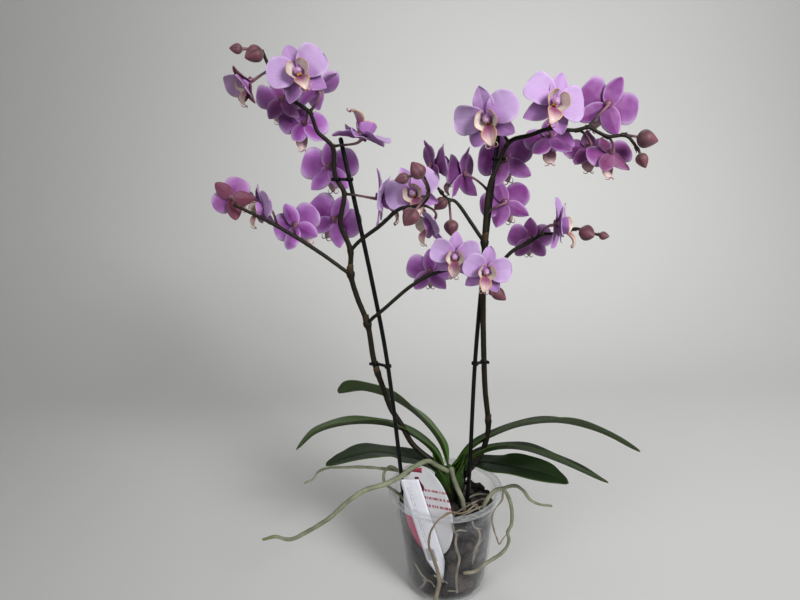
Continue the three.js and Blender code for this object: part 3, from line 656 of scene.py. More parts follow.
def strand_tree():
    tree, given, result = geometry_tree("Tube along a path", [
        ("Sides", "Int", 12), ("Lump", "Float", 0.0), ("Lump Scale", "Float", 150.0),
        ("Seed", "Float", 1.0)])
    line = add(tree, "GeometryNodeMeshToCurve", {"Mesh": given["Geometry"]}).outputs[0]
    stored = add(tree, "GeometryNodeInputNamedAttribute", {"Name": "thickness"}, data_type="FLOAT")
    circle = add(tree, "GeometryNodeCurvePrimitiveCircle", {"Resolution": given["Sides"], "Radius": 1.0})
    tube = add(tree, "GeometryNodeCurveToMesh", {
        "Curve": line, "Profile Curve": circle.outputs[0], "Scale": stored.outputs[0],
        "Fill Caps": True}).outputs[0]
    lumpy = pushed(tree, tube, given["Lump Scale"], given["Seed"], given["Lump"])
    smooth = add(tree, "GeometryNodeSetShadeSmooth", {"Geometry": lumpy, "Shade Smooth": True}).outputs[0]
    finish_tree(tree, smooth, given, result)
    return tree


STRAND = strand_tree()


def run_tree(obj, tree, values):
    """Gives an object the result of a tree, as a plain mesh."""
    modifier = obj.modifiers.new(tree.name, "NODES")
    modifier.node_group = tree
    sockets = {item.name: item.identifier for item in tree.interface.items_tree if item.in_out == "INPUT"}
    for name, value in values.items():
        modifier[sockets[name]] = value
    evaluated = obj.evaluated_get(bpy.context.evaluated_depsgraph_get())
    mesh = bpy.data.meshes.new_from_object(evaluated)
    obj.modifiers.clear()
    obj.data = mesh
    return obj


ROUND_END = [math.radians(angle) for angle in (12, 35, 60)]


def rounded(line, radii):
    """A path with short extra stretches at both ends, over which a tube closes in a dome."""
    line, radii = np.asarray(line, float), np.asarray(radii, float)
    first, last = unit(line[0] - line[1]), unit(line[-1] - line[-2])
    before = [line[0] + first * radii[0] * math.sin(math.pi / 2 - a) for a in ROUND_END]
    after = [line[-1] + last * radii[-1] * math.sin(math.pi / 2 - a) for a in reversed(ROUND_END)]
    domes = [[radius * math.sin(a) for a in ROUND_END] for radius in (radii[0], radii[-1])]
    return np.vstack([before, line, after]), np.concatenate([domes[0], radii, domes[1][::-1]])


def along(values, count):
    """Values spread evenly over count places."""
    return np.interp(np.linspace(0, 1, count), np.linspace(0, 1, len(values)), values)


def strands(name, paths, finish, **values):
    """One mesh of tubes. Each path is its points, its radii in metres and its tints from 0 to 1."""
    mesh = bpy.data.meshes.new(name)
    points, thickness, tints, edges = [], [], [], []
    for line, radii, tint in paths:
        start = len(points)
        full, wide = rounded(line, radii)
        points.extend(full.tolist())
        thickness.extend(wide)
        tints.extend(along(tint, len(full)))
        edges.extend((i, i + 1) for i in range(start, len(points) - 1))
    mesh.from_pydata(points, edges, [])
    for label, numbers in (("thickness", thickness), ("tint", tints)):
        stored = mesh.attributes.new(label, "FLOAT", "POINT")
        stored.data.foreach_set("value", np.array(numbers, np.float32))
    obj = link(bpy.data.objects.new(name, mesh))
    return run_tree(obj, STRAND, {**values, "Finish": finish})


print("strand tree:", len(STRAND.nodes), "nodes")

# %% [markdown]
# ## Bark
#
# The roots sit in bark chips. Through the wall one sees a dark, wet mass of them pressed flat against the
# plastic, and at the mouth they lie loose. A turned core fills the pot, and Geometry Nodes scatter
# chips over it: each is a small block with few faces, turned and scaled at random, then roughened by
# a noise, so no two are alike. Points that would poke through the wall are pulled back to it.

# %% Build the bark core and scatter the chips
BARK = dict(top=92, dome=4, clearance=1.3, chip=(0.014, 0.009, 0.0045), seed=11, sides=180)
CHIP_GRID = (4, 3, 3)
CHIP_POINTS = math.prod(CHIP_GRID) - math.prod(count - 2 for count in CHIP_GRID)
TAG = dict(azimuth=-25, lean=6, thickness=0.8, margin=2.2, clearance=1.4)
OVAL = dict(width=52, height=105, place=dict(distance=43.4, turn=4, shift=-2, height=106))
STRIP = dict(width=21, length=124, shoulder=97, place=dict(distance=49.4, turn=14, shift=-19.5, height=143))


def tag_matrix(distance, turn, shift, height):
    """Takes a card drawn flat, in millimetres, to its place in the pot."""
    round_pot = Matrix.Scale(MM, 4) @ Matrix.Rotation(math.radians(TAG["azimuth"]), 4, "Z")
    upright = Matrix.Rotation(math.radians(90 + TAG["lean"]), 4, "X")
    turned = Matrix.Rotation(math.radians(turn), 4, "Z")
    return round_pot @ Matrix.Translation((shift, -distance, height)) @ upright @ turned


def bark_finish():
    made, tree, shader = material("wet_bark")
    cloud = mottled(tree, 90.0, 700.0)
    chip = mixed(tree, ramp(tree, attribute(tree, "tint"), 0.45, 1.0), srgb(14, 11, 12), srgb(80, 68, 66))
    tone = mixed(tree, times(tree, cloud["Patches"], 0.6), chip, srgb(24, 20, 22))
    fine = mixed(tree, ramp(tree, cloud["Grain"], 0.5, 0.76, 0.0, 0.5), tone, srgb(98, 88, 84))
    feed(tree, shader, {"Base Color": fine, "Roughness": ramp(tree, cloud["Patches"], 0.0, 1.0, 0.55, 0.85),
                        "Specular IOR Level": 0.3})
    bump(tree, shader, cloud["Grain"], 0.002, 0.7)
    return made


def chance_value(tree, low, high, seed):
    """A random number for each point."""
    inputs = {2: low, 3: high, "Seed": seed}
    return add(tree, "FunctionNodeRandomValue", inputs, data_type="FLOAT").outputs[1]


def chip_tree():
    tree, given, result = geometry_tree("Scatter chips", [
        ("Spacing", "Float", 0.007), ("Chip Size", "Vector", BARK["chip"]), ("Tilt", "Float", 0.5),
        ("Roughness", "Float", 0.004), ("Seed", "Int", BARK["seed"])])
    spread = add(tree, "GeometryNodeDistributePointsOnFaces", {
        "Mesh": given["Geometry"], "Distance Min": given["Spacing"], "Density Max": 60000.0,
        "Seed": given["Seed"]}, distribute_method="POISSON").outputs
    cuts = {"Vertices " + axis: count for axis, count in zip("XYZ", CHIP_GRID)}
    block = add(tree, "GeometryNodeMeshCube", {"Size": given["Chip Size"], **cuts}).outputs[0]
    most = add(tree, "ShaderNodeCombineXYZ", {0: given["Tilt"], 1: given["Tilt"], 2: 3.14}).outputs[0]
    least = add(tree, "ShaderNodeVectorMath", {0: most, "Scale": -1.0}, operation="SCALE").outputs[0]
    spin = add(tree, "FunctionNodeRandomValue", {0: least, 1: most, "Seed": given["Seed"]},
               data_type="FLOAT_VECTOR").outputs[0]
    turned = add(tree, "FunctionNodeRotateRotation", {0: spread["Rotation"], 1: spin},
                 rotation_space="LOCAL").outputs[0]
    size = chance_value(tree, 0.55, 1.25, given["Seed"])
    placed = add(tree, "GeometryNodeInstanceOnPoints", {
        "Points": spread["Points"], "Instance": block, "Rotation": turned, "Scale": size}).outputs[0]
    tinting = {"Geometry": placed, "Name": "tint", "Value": chance_value(tree, 0.0, 1.0, given["Seed"])}
    tinted = add(tree, "GeometryNodeStoreNamedAttribute", tinting, data_type="FLOAT", domain="INSTANCE")
    real = add(tree, "GeometryNodeRealizeInstances", {0: tinted.outputs[0]}).outputs[0]
    shifts = add(tree, "ShaderNodeTexNoise", {"Scale": 190.0, "Detail": 2.0}).outputs["Color"]
    centred = add(tree, "ShaderNodeVectorMath", {0: shifts, 1: (0.5, 0.5, 0.5)}, operation="SUBTRACT")
    offset = add(tree, "ShaderNodeVectorMath", {0: centred.outputs[0], "Scale": given["Roughness"]},
                 operation="SCALE")
    rough = add(tree, "GeometryNodeSetPosition", {"Geometry": real, "Offset": offset.outputs[0]}).outputs[0]
    finish_tree(tree, rough, given, result)
    return tree


def bark_core(finish):
    """A turned body just inside the pot, with a low dome on top."""
    top, gap = BARK["top"], BARK["clearance"]
    side = [(pot_radius(z) - POT["wall"] - gap - 0.6, z) for z in np.linspace(8, top, 64)]
    foot = [(POT["foot"] - POT["wall"] - 4.5, POT["floor"] + 0.4), (POT["foot"] - POT["wall"] - 1.6, 4)]
    dome = [(r, top + BARK["dome"] * (1 - (r / 52) ** 2)) for r in np.linspace(49, 4, 22)]
    pile = Pile()
    loft(pile, turned_rings(foot + side + dome, BARK["sides"]))
    return pile.make("bark_core", [finish])


def behind_oval(across, up):
    """Whether places on the oval card's plane are behind it or close to it."""
    wide, tall = OVAL["width"] / 2 + TAG["margin"], OVAL["height"] / 2 + TAG["margin"]
    return (across / wide) ** 2 + (up / tall) ** 2 < 1


def behind_strip(across, up):
    """The same for the strip label, which comes to a point below its shoulder."""
    past = np.clip((-up - STRIP["shoulder"]) / (STRIP["length"] - STRIP["shoulder"]), 0, 1)
    reach = STRIP["width"] / 2 * (1 - past) + TAG["margin"]
    return (np.abs(across) < reach) & (up > -STRIP["length"] - TAG["margin"]) & (up < TAG["margin"])


def behind_tags(points, together):
    """Moves what lies in front of a plant tag back behind it, in groups of so many points."""
    for tag, covers in ((OVAL, behind_oval), (STRIP, behind_strip)):
        to_tag = np.array(tag_matrix(**tag["place"]).inverted() @ Matrix.Scale(MM, 4))
        flat = points @ to_tag[:3, :3].T + to_tag[:3, 3]
        in_front = np.maximum(flat[:, 2] + TAG["clearance"], 0)
        depth = np.where(covers(flat[:, 0], flat[:, 1]), in_front, 0)
        depth = np.repeat(depth.reshape(-1, together).max(axis=1), together)
        points = points - depth[:, None] * to_tag[2, :3]
    return points


def inside_pot(obj, together=1):
    """Pulls back what pokes through the wall, the floor or a tag."""
    points = np.array([vertex.co for vertex in obj.data.vertices]) / MM
    points = behind_tags(points, together)
    points[:, 2] = np.clip(points[:, 2], POT["floor"] + 0.3, 103)
    limit = pot_radius(points[:, 2]) - POT["wall"] - BARK["clearance"]
    limit = np.where(points[:, 2] < 7, limit - 3.6 * (1 - points[:, 2] / 7), limit)
    reach = np.hypot(points[:, 0], points[:, 1])
    points[:, :2] *= np.minimum(1, limit / np.maximum(reach, 1e-6))[:, None]
    obj.data.vertices.foreach_set("co", (points * MM).astype(np.float32).ravel())
    obj.data.update()
    return obj


def joined(name, *objects):
    """The objects as one mesh object at the origin."""
    for obj in bpy.context.selected_objects:
        obj.select_set(False)
    for obj in objects:
        obj.select_set(True)
    bpy.context.view_layer.objects.active = objects[0]
    bpy.ops.object.join()
    objects[0].name = name
    return objects[0]


BARK_FINISH = bark_finish()
core = bark_core(BARK_FINISH)
chips = link(bpy.data.objects.new("chips", core.data.copy()))
run_tree(chips, chip_tree(), {"Finish": BARK_FINISH})
inside_pot(core)
inside_pot(chips, together=CHIP_POINTS)
bark = finish_piece(joined("bark_filling", core, chips), "bark", "substrate")
print("bark:", len(bark.data.polygons), "faces")

# %% [markdown]
# ## Leaves and crown
#
# An orchid leaf is a thick strap folded along its midrib. It is nearly shut where it clasps the crown and
# opens outwards. Each blade is a grid of points on both sides of the midrib's path, with a groove above
# and a keel below, thicker in the middle than at its edge. The satin skin needs three greens: bright at
# the base, darker along the blade, and yellowish at the very edge. Some leaves, the upper left ones most,
# are painted a little paler and greyer: a painted sheen for the light that they catch.

# %% Build the leaves
# The last value of each leaf is a painted sheen: how much paler and greyer the leaf is painted for the
# light that it catches.
LEAVES = dict(
    leaf_left_1=dict(
        midrib=[[4, 3, 134], [-4, 14, 156], [-19, 28, 173], [-40, 44, 186], [-64, 60, 193], [-96, 80, 192],
                [-118, 94, 181]],
        half_widths=[0, 11, 18, 22, 22, 19, 12, 0], fold=14, bank=38, painted_sheen=0.9,
    ),
    leaf_left_2=dict(
        midrib=[[1, 1, 128], [-15, 9, 152], [-38, 16, 168], [-62, 16, 178], [-100, 8, 184],
                [-133, -3, 180], [-153, -9, 164]],
        half_widths=[0, 10, 16, 19, 21, 18, 11, 0], fold=14, bank=20, painted_sheen=0.6,
    ),
    leaf_left_3=dict(
        midrib=[[2, -2, 118], [-21, 8, 135], [-47, 15, 140], [-73, 7, 149], [-98, -12, 154.5],
                [-121, -27, 155]],
        half_widths=[0, 11, 18, 22, 24, 19, 10, 0], fold=10, bank=8, painted_sheen=0.15,
    ),
    leaf_right_1=dict(
        midrib=[[8, 4, 134], [34, 13, 153], [54, 17, 162], [82, 21, 170], [125, 25, 171], [169, 23, 159],
                [210, 14, 138]],
        half_widths=[0, 9, 15, 18, 19, 16, 10, 0], fold=14, bank=24, painted_sheen=0.1,
    ),
    leaf_right_2=dict(
        midrib=[[6, 1, 127], [36, 7, 145], [58, 6, 152], [83, 0, 153], [120, -9, 142], [165, -20, 123]],
        half_widths=[0, 9, 15, 18, 19, 16, 10, 0], fold=16, bank=22, painted_sheen=0.0,
    ),
    leaf_right_3=dict(
        midrib=[[6, 0, 118], [22, 6, 129], [36, 4, 135], [54, -13, 142], [76, -30, 147], [97, -41, 146],
                [116, -48, 141]],
        half_widths=[0, 10, 16, 21, 23, 20, 12, 0], fold=12, bank=0, painted_sheen=0.05,
    ),
)
BLADE = dict(rows=64, columns=24, middle=2.4, edge=0.9, groove=0.9, clasp=34, clasped=0.14)
WIDTH_PLACES = np.array([0, 0.14, 0.3, 0.46, 0.62, 0.78, 0.92, 1])


def smooth_widths(values, places):
    """Half widths between the given ones, round at the tip, in millimetres."""
    widths = np.array(values, float)
    slopes = np.gradient(widths, WIDTH_PLACES)
    slopes[0], slopes[-1] = slopes[1], slopes[-2]
    i = np.clip(np.searchsorted(WIDTH_PLACES, places) - 1, 0, len(widths) - 2)
    span = WIDTH_PLACES[i + 1] - WIDTH_PLACES[i]
    t = (places - WIDTH_PLACES[i]) / span
    rise = (2 * t**3 - 3 * t**2 + 1) * widths[i] + (t**3 - 2 * t**2 + t) * span * slopes[i]
    smooth = rise + (-2 * t**3 + 3 * t**2) * widths[i + 1] + (t**3 - t**2) * span * slopes[i + 1]
    last = WIDTH_PLACES[-2]
    tip = widths[-2] * np.sqrt(np.clip((1 - places) / (1 - last), 0, 1))
    return np.maximum(np.where(places > last, tip, smooth), 0.6)


def turned_about(vectors, axes, angles):
    """Vectors turned about unit axes, each by its own angle."""
    kept = axes * (vectors * axes).sum(-1, keepdims=True)
    return vectors * np.cos(angles) + np.cross(axes, vectors) * np.sin(angles) + kept * (1 - np.cos(angles))


def leaf_grid(midrib, half_widths, fold, bank):
    """The grid of a leaf's middle surface, and its thickness there."""
    line = smooth_path(midrib, BLADE["rows"])
    tangent = unit(np.gradient(line, axis=0))
    level = unit(np.cross(tangent, [0.0, 0.0, 1.0]))
    side = turned_about(level, tangent, np.radians(np.where(level[:, 1:2] < 0, -bank, bank)))
    up = unit(np.cross(side, tangent))
    places = np.linspace(0, 1, BLADE["rows"])[:, None]
    share = np.linspace(-1, 1, BLADE["columns"] + 1)
    half = smooth_widths(half_widths, places) * MM
    angle = np.radians(fold + np.exp(-((places / BLADE["clasped"]) ** 2)) * BLADE["clasp"])
    across = share * half * np.cos(angle)
    rise = np.abs(share) ** 1.25 * half * np.sin(angle)
    sag = -0.09 * half * np.clip(np.abs(share) - 0.4, 0, 1) ** 2
    wave = 0.035 * half * share**2 * np.sin(places * 19 + share * 2)
    groove = -BLADE["groove"] * MM * np.exp(-((share / 0.11) ** 2)) * np.sin(places * math.pi) ** 0.3
    height = rise + sag + wave + groove
    middle = line[:, None] + side[:, None] * across[..., None] + up[:, None] * height[..., None]
    thick = BLADE["edge"] + (BLADE["middle"] - BLADE["edge"]) * np.exp(-((share / 0.35) ** 2))
    ends = np.sqrt(np.clip(1 - np.clip((places - 0.9) / 0.1, 0, 1) ** 2, 0.15, 1))
    return middle, thick * ends * MM


def leaf_finish():
    made, tree, shader = material("leaf_skin")
    veins = veined(tree, 26.0, 0.02)
    cloud = mottled(tree, 35.0, 420.0)
    marks = marks_of(tree)
    tone = mixed(tree, cloud["Patches"], srgb(10, 22, 8), srgb(20, 36, 14))
    # Painted sheen: the first mark makes a leaf paler and greyer, for the light that it catches.
    with_painted_sheen = mixed(tree, marks["Red"], tone, srgb(96, 116, 80))
    sided = mixed(tree, marks["Green"], srgb(58, 76, 38), with_painted_sheen)
    base = mixed(tree, ramp(tree, veins["Along"], 0.02, 0.24, 0.72, 0.0), sided, srgb(52, 88, 20))
    lined = mixed(tree, times(tree, veins["Veins"], 0.16), base, srgb(14, 26, 12))
    # Painted shade: a dark line along the midrib, on both faces of the leaf, for the shade in the midrib's
    # groove.
    painted_groove_shade = mixed(tree, times(tree, veins["Middle"], 0.7), lined, srgb(10, 20, 8))
    edge = mixed(tree, ramp(tree, veins["Edge"], 0.9, 1.0, 0.0, 0.5), painted_groove_shade, srgb(70, 88, 40))
    feed(tree, shader, {"Base Color": edge, "Roughness": grainy(tree, cloud, 0.4, 0.54),
                        "IOR": 1.3, "Specular IOR Level": 0.2})
    bump(tree, shader, veins["Veins"], 0.0006, -0.35)
    return made


def make_leaf(node, painted_sheen, **shape):
    pile = Pile()
    shell(pile, *leaf_grid(**shape), marks=(painted_sheen, 0, 0))
    finish_piece(pile.make(node + "_blade", [LEAF_FINISH]), "leaf", node)


LEAF_FINISH = leaf_finish()
for node, leaf in LEAVES.items():
    make_leaf(node, **leaf)
print("leaves:", len(LEAVES), "blades of", BLADE["rows"] * (BLADE["columns"] + 1) * 2, "points")

# %% [markdown]
# The crown is the short stem that all leaves grow from. Its outside is made of the leaves' own sheaths,
# which wrap it in turn from the left and the right. A lofted core is therefore dressed with curved
# sheaths that each cover half of it and end in a slanting edge.

# %% Build the crown and its sheaths
CROWN = dict(base=70, top=150, radii=[8, 10.5, 12.5, 13.5, 11, 5], depth=0.8, shift=4)
CROWN_CORE = dict(top=137, closing=14, rings=20, sides=32)
# each sheath: its azimuth, lowest and highest point, lift off the crown, and flare at its top
SHEATHS = [(180, 92, 134, 0.2, 3), (0, 92, 130, 0.6, 3), (190, 102, 142, 0.9, 4), (-10, 100, 140, 1.2, 4),
           (170, 110, 149, 0.2, 5), (12, 110, 149, 0.5, 5)]


def crown_radius(height):
    share = (height - CROWN["base"]) / (CROWN["top"] - CROWN["base"])
    return np.interp(share, np.linspace(0, 1, len(CROWN["radii"])), CROWN["radii"])


def sheath_grid(azimuth, low, high, lift, flare, rows=24, columns=25):
    """A curved sheet that wraps half of the crown and leans out at its top, as the foot of a leaf does."""
    share = np.linspace(-1, 1, columns)[None]
    turn = math.radians(azimuth) + share * math.radians(100)
    rise = np.linspace(0, 1, rows)[:, None]
    top = high - (high - low) * 0.72 * np.abs(share) ** 1.5
    height = low + (top - low) * rise
    reach = rise**2.2 * np.cos(share * math.pi / 2) ** 0.8
    radius = crown_radius(np.minimum(height, 128)) * (1 - 0.25 * rise**2 * np.abs(share)) + lift
    x = radius * np.cos(turn) + CROWN["shift"] + flare * reach * math.cos(math.radians(azimuth))
    y = radius * np.sin(turn) * CROWN["depth"]
    return np.stack([x, y, height], -1) * MM


def crown_finish():
    made, tree, shader = material("crown_skin")
    veins = veined(tree, 30.0, 0.03)
    cloud = mottled(tree, 50.0, 500.0)
    tone = mixed(tree, cloud["Patches"], srgb(22, 45, 7), srgb(42, 74, 13))
    height = split(tree, object_place(tree))["Z"]
    low = mixed(tree, ramp(tree, height, 0.106, 0.132, 0.94, 0.0), tone, srgb(20, 20, 11))
    lined = mixed(tree, times(tree, veins["Veins"], 0.3), low, srgb(15, 32, 6))
    edge = mixed(tree, ramp(tree, veins["Edge"], 0.85, 1.0, 0.0, 0.45), lined, srgb(78, 94, 34))
    feed(tree, shader, {"Base Color": edge, "Roughness": grainy(tree, cloud, 0.35, 0.55),
                        "Specular IOR Level": 0.25})
    bump(tree, shader, veins["Veins"], 0.0006, -0.4)
    return made


def make_crown():
    pile = Pile()
    top = CROWN_CORE["top"]
    heights = np.linspace(CROWN["base"], top, CROWN_CORE["rings"])[:, None]
    turns = full_turn(CROWN_CORE["sides"])
    radius = crown_radius(heights) * np.sqrt(np.clip((top + 0.5 - heights) / CROWN_CORE["closing"], 0, 1))
    x, y = radius * np.cos(turns) + CROWN["shift"], radius * np.sin(turns) * CROWN["depth"]
    loft(pile, np.stack([x, y, heights + 0 * x], -1) * MM)
    for sheath in SHEATHS:
        grid = sheath_grid(*sheath)
        rise = np.linspace(0, 1, len(grid))[:, None]
        shell(pile, grid, (1.6 - 0.9 * rise) * np.ones(grid.shape[:2]) * MM)
    return finish_piece(pile.make("crown_sheaths", [crown_finish()]), "crown_green", "crown")


crown = make_crown()
print(crown.name, len(crown.data.polygons), "faces,", len(SHEATHS), "sheaths")

# %% [markdown]
# ## Flower spikes
#
# A spike is a wiry stem with joints. At each joint sits a paler sheath, and from some of them a branch
# leaves. The flower stalks leave the stem one by one, each above a small pointed bract, and turn from
# brown at the stem to pink at the flower. Stems, branches and stalks are strands of the tree above; the
# sheaths and bracts are small curved blades that hug the strand they grow from.

# %% Build the spikes' stems, branches and stalks
LEFT_SPIKE = dict(
    stem=dict(
        route=[[1, -1, 127], [-8, 2, 137], [-22, 5, 147], [-34, 7, 159], [-45, 8, 181], [-55, 8, 199],
               [-61, 6, 219], [-70, 0, 254], [-75, -2, 294], [-84, -3, 322], [-89, -4, 345],
               [-88, -5, 368], [-96, -7, 393], [-94, -8, 405], [-91, -9, 422], [-98, -11, 437],
               [-99, -13, 463], [-105, -15, 470], [-111, -17, 476], [-116, -21, 492], [-122, -23, 497],
               [-130, -24, 503], [-139, -24, 519], [-148, -24, 531], [-152, -26, 542]],
        radii=[2.9, 2.6, 2.4, 2.2, 2, 1.8, 1.4, 1.1],
    ),
    branches=[
        dict(
            route=[[-89, -4, 344], [-97, -6, 351], [-118, -8, 368], [-155, -12, 394], [-190, -17, 414]],
            radii=[1.8, 1.6, 1.4, 1.1],
        ),
        dict(
            route=[[-88, -5, 367], [-81, -10, 375], [-74, -14, 381], [-60, -18, 391], [-40, -30, 408],
                   [-30, -36, 410], [-22, -39, 412], [-16, -41, 418], [-15, -42, 425], [-20, -44, 438]],
            radii=[1.8, 1.6, 1.3, 1],
        ),
        dict(
            route=[[-75, -2, 294], [-69, -9, 302], [-64, -14, 307], [-56, -16, 314], [-31, -18, 335],
                   [-8, -20, 347], [15, -23, 351], [30, -25, 347], [39, -27, 336], [42, -29, 331]],
            radii=[1.8, 1.5, 1.3, 1],
        ),
    ],
    collars=[[-66, 2, 241], [-75, -2, 294], [-89, -4, 345]],
    buds=[
        dict(at=[-173, -30, 544], length=11, width=9, start=[-160, -29, 545]),
        dict(at=[-159, -30, 539], length=17, width=15, start=[-152, -26, 541]),
        dict(at=[-38, -45, 435], length=13, width=10, start=[-20, -44, 438]),
        dict(at=[-25, -46, 442], length=17, width=14, start=[-15, -42, 425]),
        dict(at=[-32, -50, 402], length=18, width=16, start=[-15, -41, 421]),
        dict(at=[49, -30, 327], length=16, width=12, start=[41, -29, 333]),
        dict(at=[42, -31, 329], length=7, width=6, start=[35, -27, 340]),
    ],
    blooms=[
        dict(at=[-120, -46, 521], faces=[5, 15], roll=-20, start=[-137, -24, 515]),
        dict(at=[-110, -8, 512], faces=[-118, 48], start=[-116, -21, 492]),
        dict(
            at=[-163, -34, 517], faces=[-50, -25], roll=10, scale=0.8, open=0.4, start=[-145, -24, 528],
            blush=1.0,
        ),
        dict(at=[-145, 6, 505], faces=[-140, -20], scale=0.85, open=0.8, start=[-132, -24, 509], blush=0.4),
        dict(at=[-128, 22, 483], faces=[-150, -25], scale=0.95, start=[-117, -21, 494]),
        dict(at=[-72, -14, 471], faces=[110, 68], roll=160, scale=1.05, start=[-99, -13, 463]),
        dict(at=[-106, 18, 443], faces=[175, -10], scale=1.05, start=[-98, -12, 450]),
        dict(at=[-105, 22, 393], faces=[180, -5], roll=-30, scale=1.05, start=[-94, -8, 402]),
        dict(
            at=[-59, -4, 415], faces=[82, -5], scale=1.1, open=0.85, start=[-91, -9, 421], bow=[4, -12, 2],
        ),
        dict(
            at=[-193, -10, 420], faces=[-165, -5], roll=45, scale=0.8, open=0.8, start=[-188, -17, 413],
            blush=1.0,
        ),
        dict(at=[-170, 9, 409], faces=[-52, -8], scale=0.85, open=0.9, start=[-153, -12, 393], blush=0.3),
        dict(at=[-140, 12, 390], faces=[170, -10], roll=25, scale=0.95, start=[-138, -11, 382]),
        dict(
            at=[-28, -20, 421], faces=[-5, 0], roll=-25, scale=0.95, start=[-54, -21, 396], bow=[2, 24, 2],
        ),
        dict(
            at=[-12, -3, 392], faces=[-60, -20], scale=0.9, open=0.9, start=[-22, -39, 412], bow=[13, 9, 0],
        ),
        dict(at=[-13, 0, 344], faces=[175, -5], scale=0.9, start=[-26, -18, 341]),
        dict(at=[8, -34, 365], faces=[-5, -5], roll=5, scale=0.87, start=[-3, -21, 352]),
        dict(at=[33, -52, 354], faces=[0, 0], roll=12, scale=0.85, start=[21, -24, 351]),
    ],
)
RIGHT_SPIKE = dict(
    stem=dict(
        route=[[8, -2, 108], [24, 2, 127], [34, 6, 137], [42, 8, 153], [46, 8, 173], [42, 5, 218],
               [40, 1, 250], [38, -4, 305], [38, -7, 353], [39, -9, 393], [42, -11, 424], [48, -12, 440],
               [59, -15, 463], [76, -19, 468], [92, -23, 473], [113, -27, 471], [125, -29, 473],
               [132, -30, 469], [141, -31, 465], [156, -33, 465], [166, -34, 454]],
        radii=[2.9, 2.6, 2.4, 2.2, 2, 1.8, 1.4, 1.1],
    ),
    branches=[
        dict(
            route=[[38, -8, 372], [25, -6, 392], [11, -6, 411], [3, -8, 414], [-2, -11, 420]],
            radii=[1.8, 1.5, 1.3, 1],
        ),
        dict(
            route=[[40, -6, 332], [56, -8, 354], [64, -9, 363], [80, -8, 371], [92, -4, 377],
                   [108, 3, 377], [119, 4, 378], [125, -2, 382], [133, -8, 380], [146, -10, 376]],
            radii=[1.8, 1.5, 1.3, 1],
        ),
    ],
    collars=[[45, 8, 182], [38, -6, 333], [38, -8, 372]],
    buds=[
        dict(at=[-3, -9, 409], length=15, width=12, start=[2, -2, 414]),
        dict(at=[7, -12, 387], length=16, width=14, start=[4, -2, 413]),
        dict(at=[173, -36, 462], length=18, width=16, start=[154, -33, 465]),
        dict(at=[171, -34, 444], length=14, width=11, start=[166, -34, 454]),
        dict(at=[133, -14, 379], length=17, width=15, start=[125, -2, 382]),
        dict(at=[149, -12, 376], length=10, width=8, start=[146, -10, 376]),
    ],
    blooms=[
        dict(at=[-8, 6, 443], faces=[110, 5], start=[-2, -11, 420], bow=[-5, -6, 4]),
        dict(at=[20, 10, 434], faces=[-126, 5], scale=1.02, start=[41, -10, 418]),
        dict(at=[35, -42, 483], faces=[-15, -15], roll=-15, scale=1.05, start=[59, -15, 463]),
        dict(at=[89, -46, 493], faces=[5, 5], roll=23, scale=1.05, start=[94, -23, 473]),
        dict(at=[144, -14, 491], faces=[178, -5], roll=-24, scale=1.05, start=[125, -29, 473]),
        dict(at=[134, -4, 456], faces=[175, -42], scale=0.9, open=0.9, start=[117, -28, 471], blush=0.3),
        dict(at=[147, -24, 450], faces=[-165, -40], scale=0.85, open=0.9, start=[140, -31, 465], blush=0.6),
        dict(at=[99, 0, 465], faces=[175, -45], scale=0.95, open=0.9, start=[85, -21, 470]),
        dict(at=[61, 14, 446], faces=[180, -5], roll=15, scale=1.05, start=[49, -12, 443]),
        dict(at=[61, 12, 406], faces=[175, -10], roll=20, scale=0.95, start=[40, -9, 398]),
        dict(at=[85, 10, 371], faces=[172, -10], scale=0.82, start=[77, -8, 369], blush=0.15),
        dict(at=[101, -26, 389], faces=[65, 0], scale=0.95, open=0.9, start=[93, -3, 372], bow=[-4, -6, 2]),
    ],
)
SPIKES = dict(left=LEFT_SPIKE, right=RIGHT_SPIKE)
STALK = dict(radius=1.15, back=1.6, arriving=7, lead=8.05, share=0.39, rise=(0, 0, 3), bow=0.9)
SHEATH = dict(gap=0.35, flare=0.9, thickness=0.4)
COLLAR = dict(radius=2.6, length=11, spread=118, below=1.5, inset=0)
BRACT = dict(radius=1.7, length=5.2, spread=62, below=2.8, inset=0.2)
TO_VIEWER = np.array([0.4, -0.9, 0.1])


def facing(azimuth, elevation):
    """The unit vector a bloom faces along: azimuth 0 is towards the viewer."""
    turn, lift = math.radians(azimuth), math.radians(elevation)
    return np.array([math.cos(lift) * math.sin(turn), -math.cos(lift) * math.cos(turn), math.sin(lift)])


def nearest(lines, place):
    """The nearest point of some lines to a place, and the line's direction there."""
    best = None
    for line in lines:
        gap = np.linalg.norm(line - place, axis=1)
        i = int(gap.argmin())
        if best is None or gap[i] < best[0]:
            best = (gap[i], line[i], unit(line[min(i + 1, len(line) - 1)] - line[max(i - 1, 0)]))
    return best[1], best[2]


def bezier(start, bend, end, count):
    t = np.linspace(0, 1, count)[:, None]
    return (1 - t) ** 2 * start + 2 * t * (1 - t) * bend + t**2 * end


def swollen(line, radii, joints, share=0.32, reach=0.0035):
    """Radii that swell at the joints of a stem."""
    radii = np.array(radii, float)
    for joint in joints:
        gap = np.linalg.norm(line - np.array(joint) * MM, axis=1)
        radii = radii * (1 + share * np.exp(-((gap / reach) ** 2)))
    return radii


def stem_paths(stem, branches, collars):
    """The strands of a spike's stem and branches."""
    starts = [branch["route"][0] for branch in branches]
    paths = []
    for part, count, joints in ((stem, 170, collars + starts), *((branch, 60, []) for branch in branches)):
        line = smooth_path(part["route"], count)
        radii = along(part["radii"], count) * along([1, 1.2, 1.26, 1.2], count) * MM
        paths.append((line, swollen(line, radii, joints), [0.0, 0.0, 0.12]))
    return paths


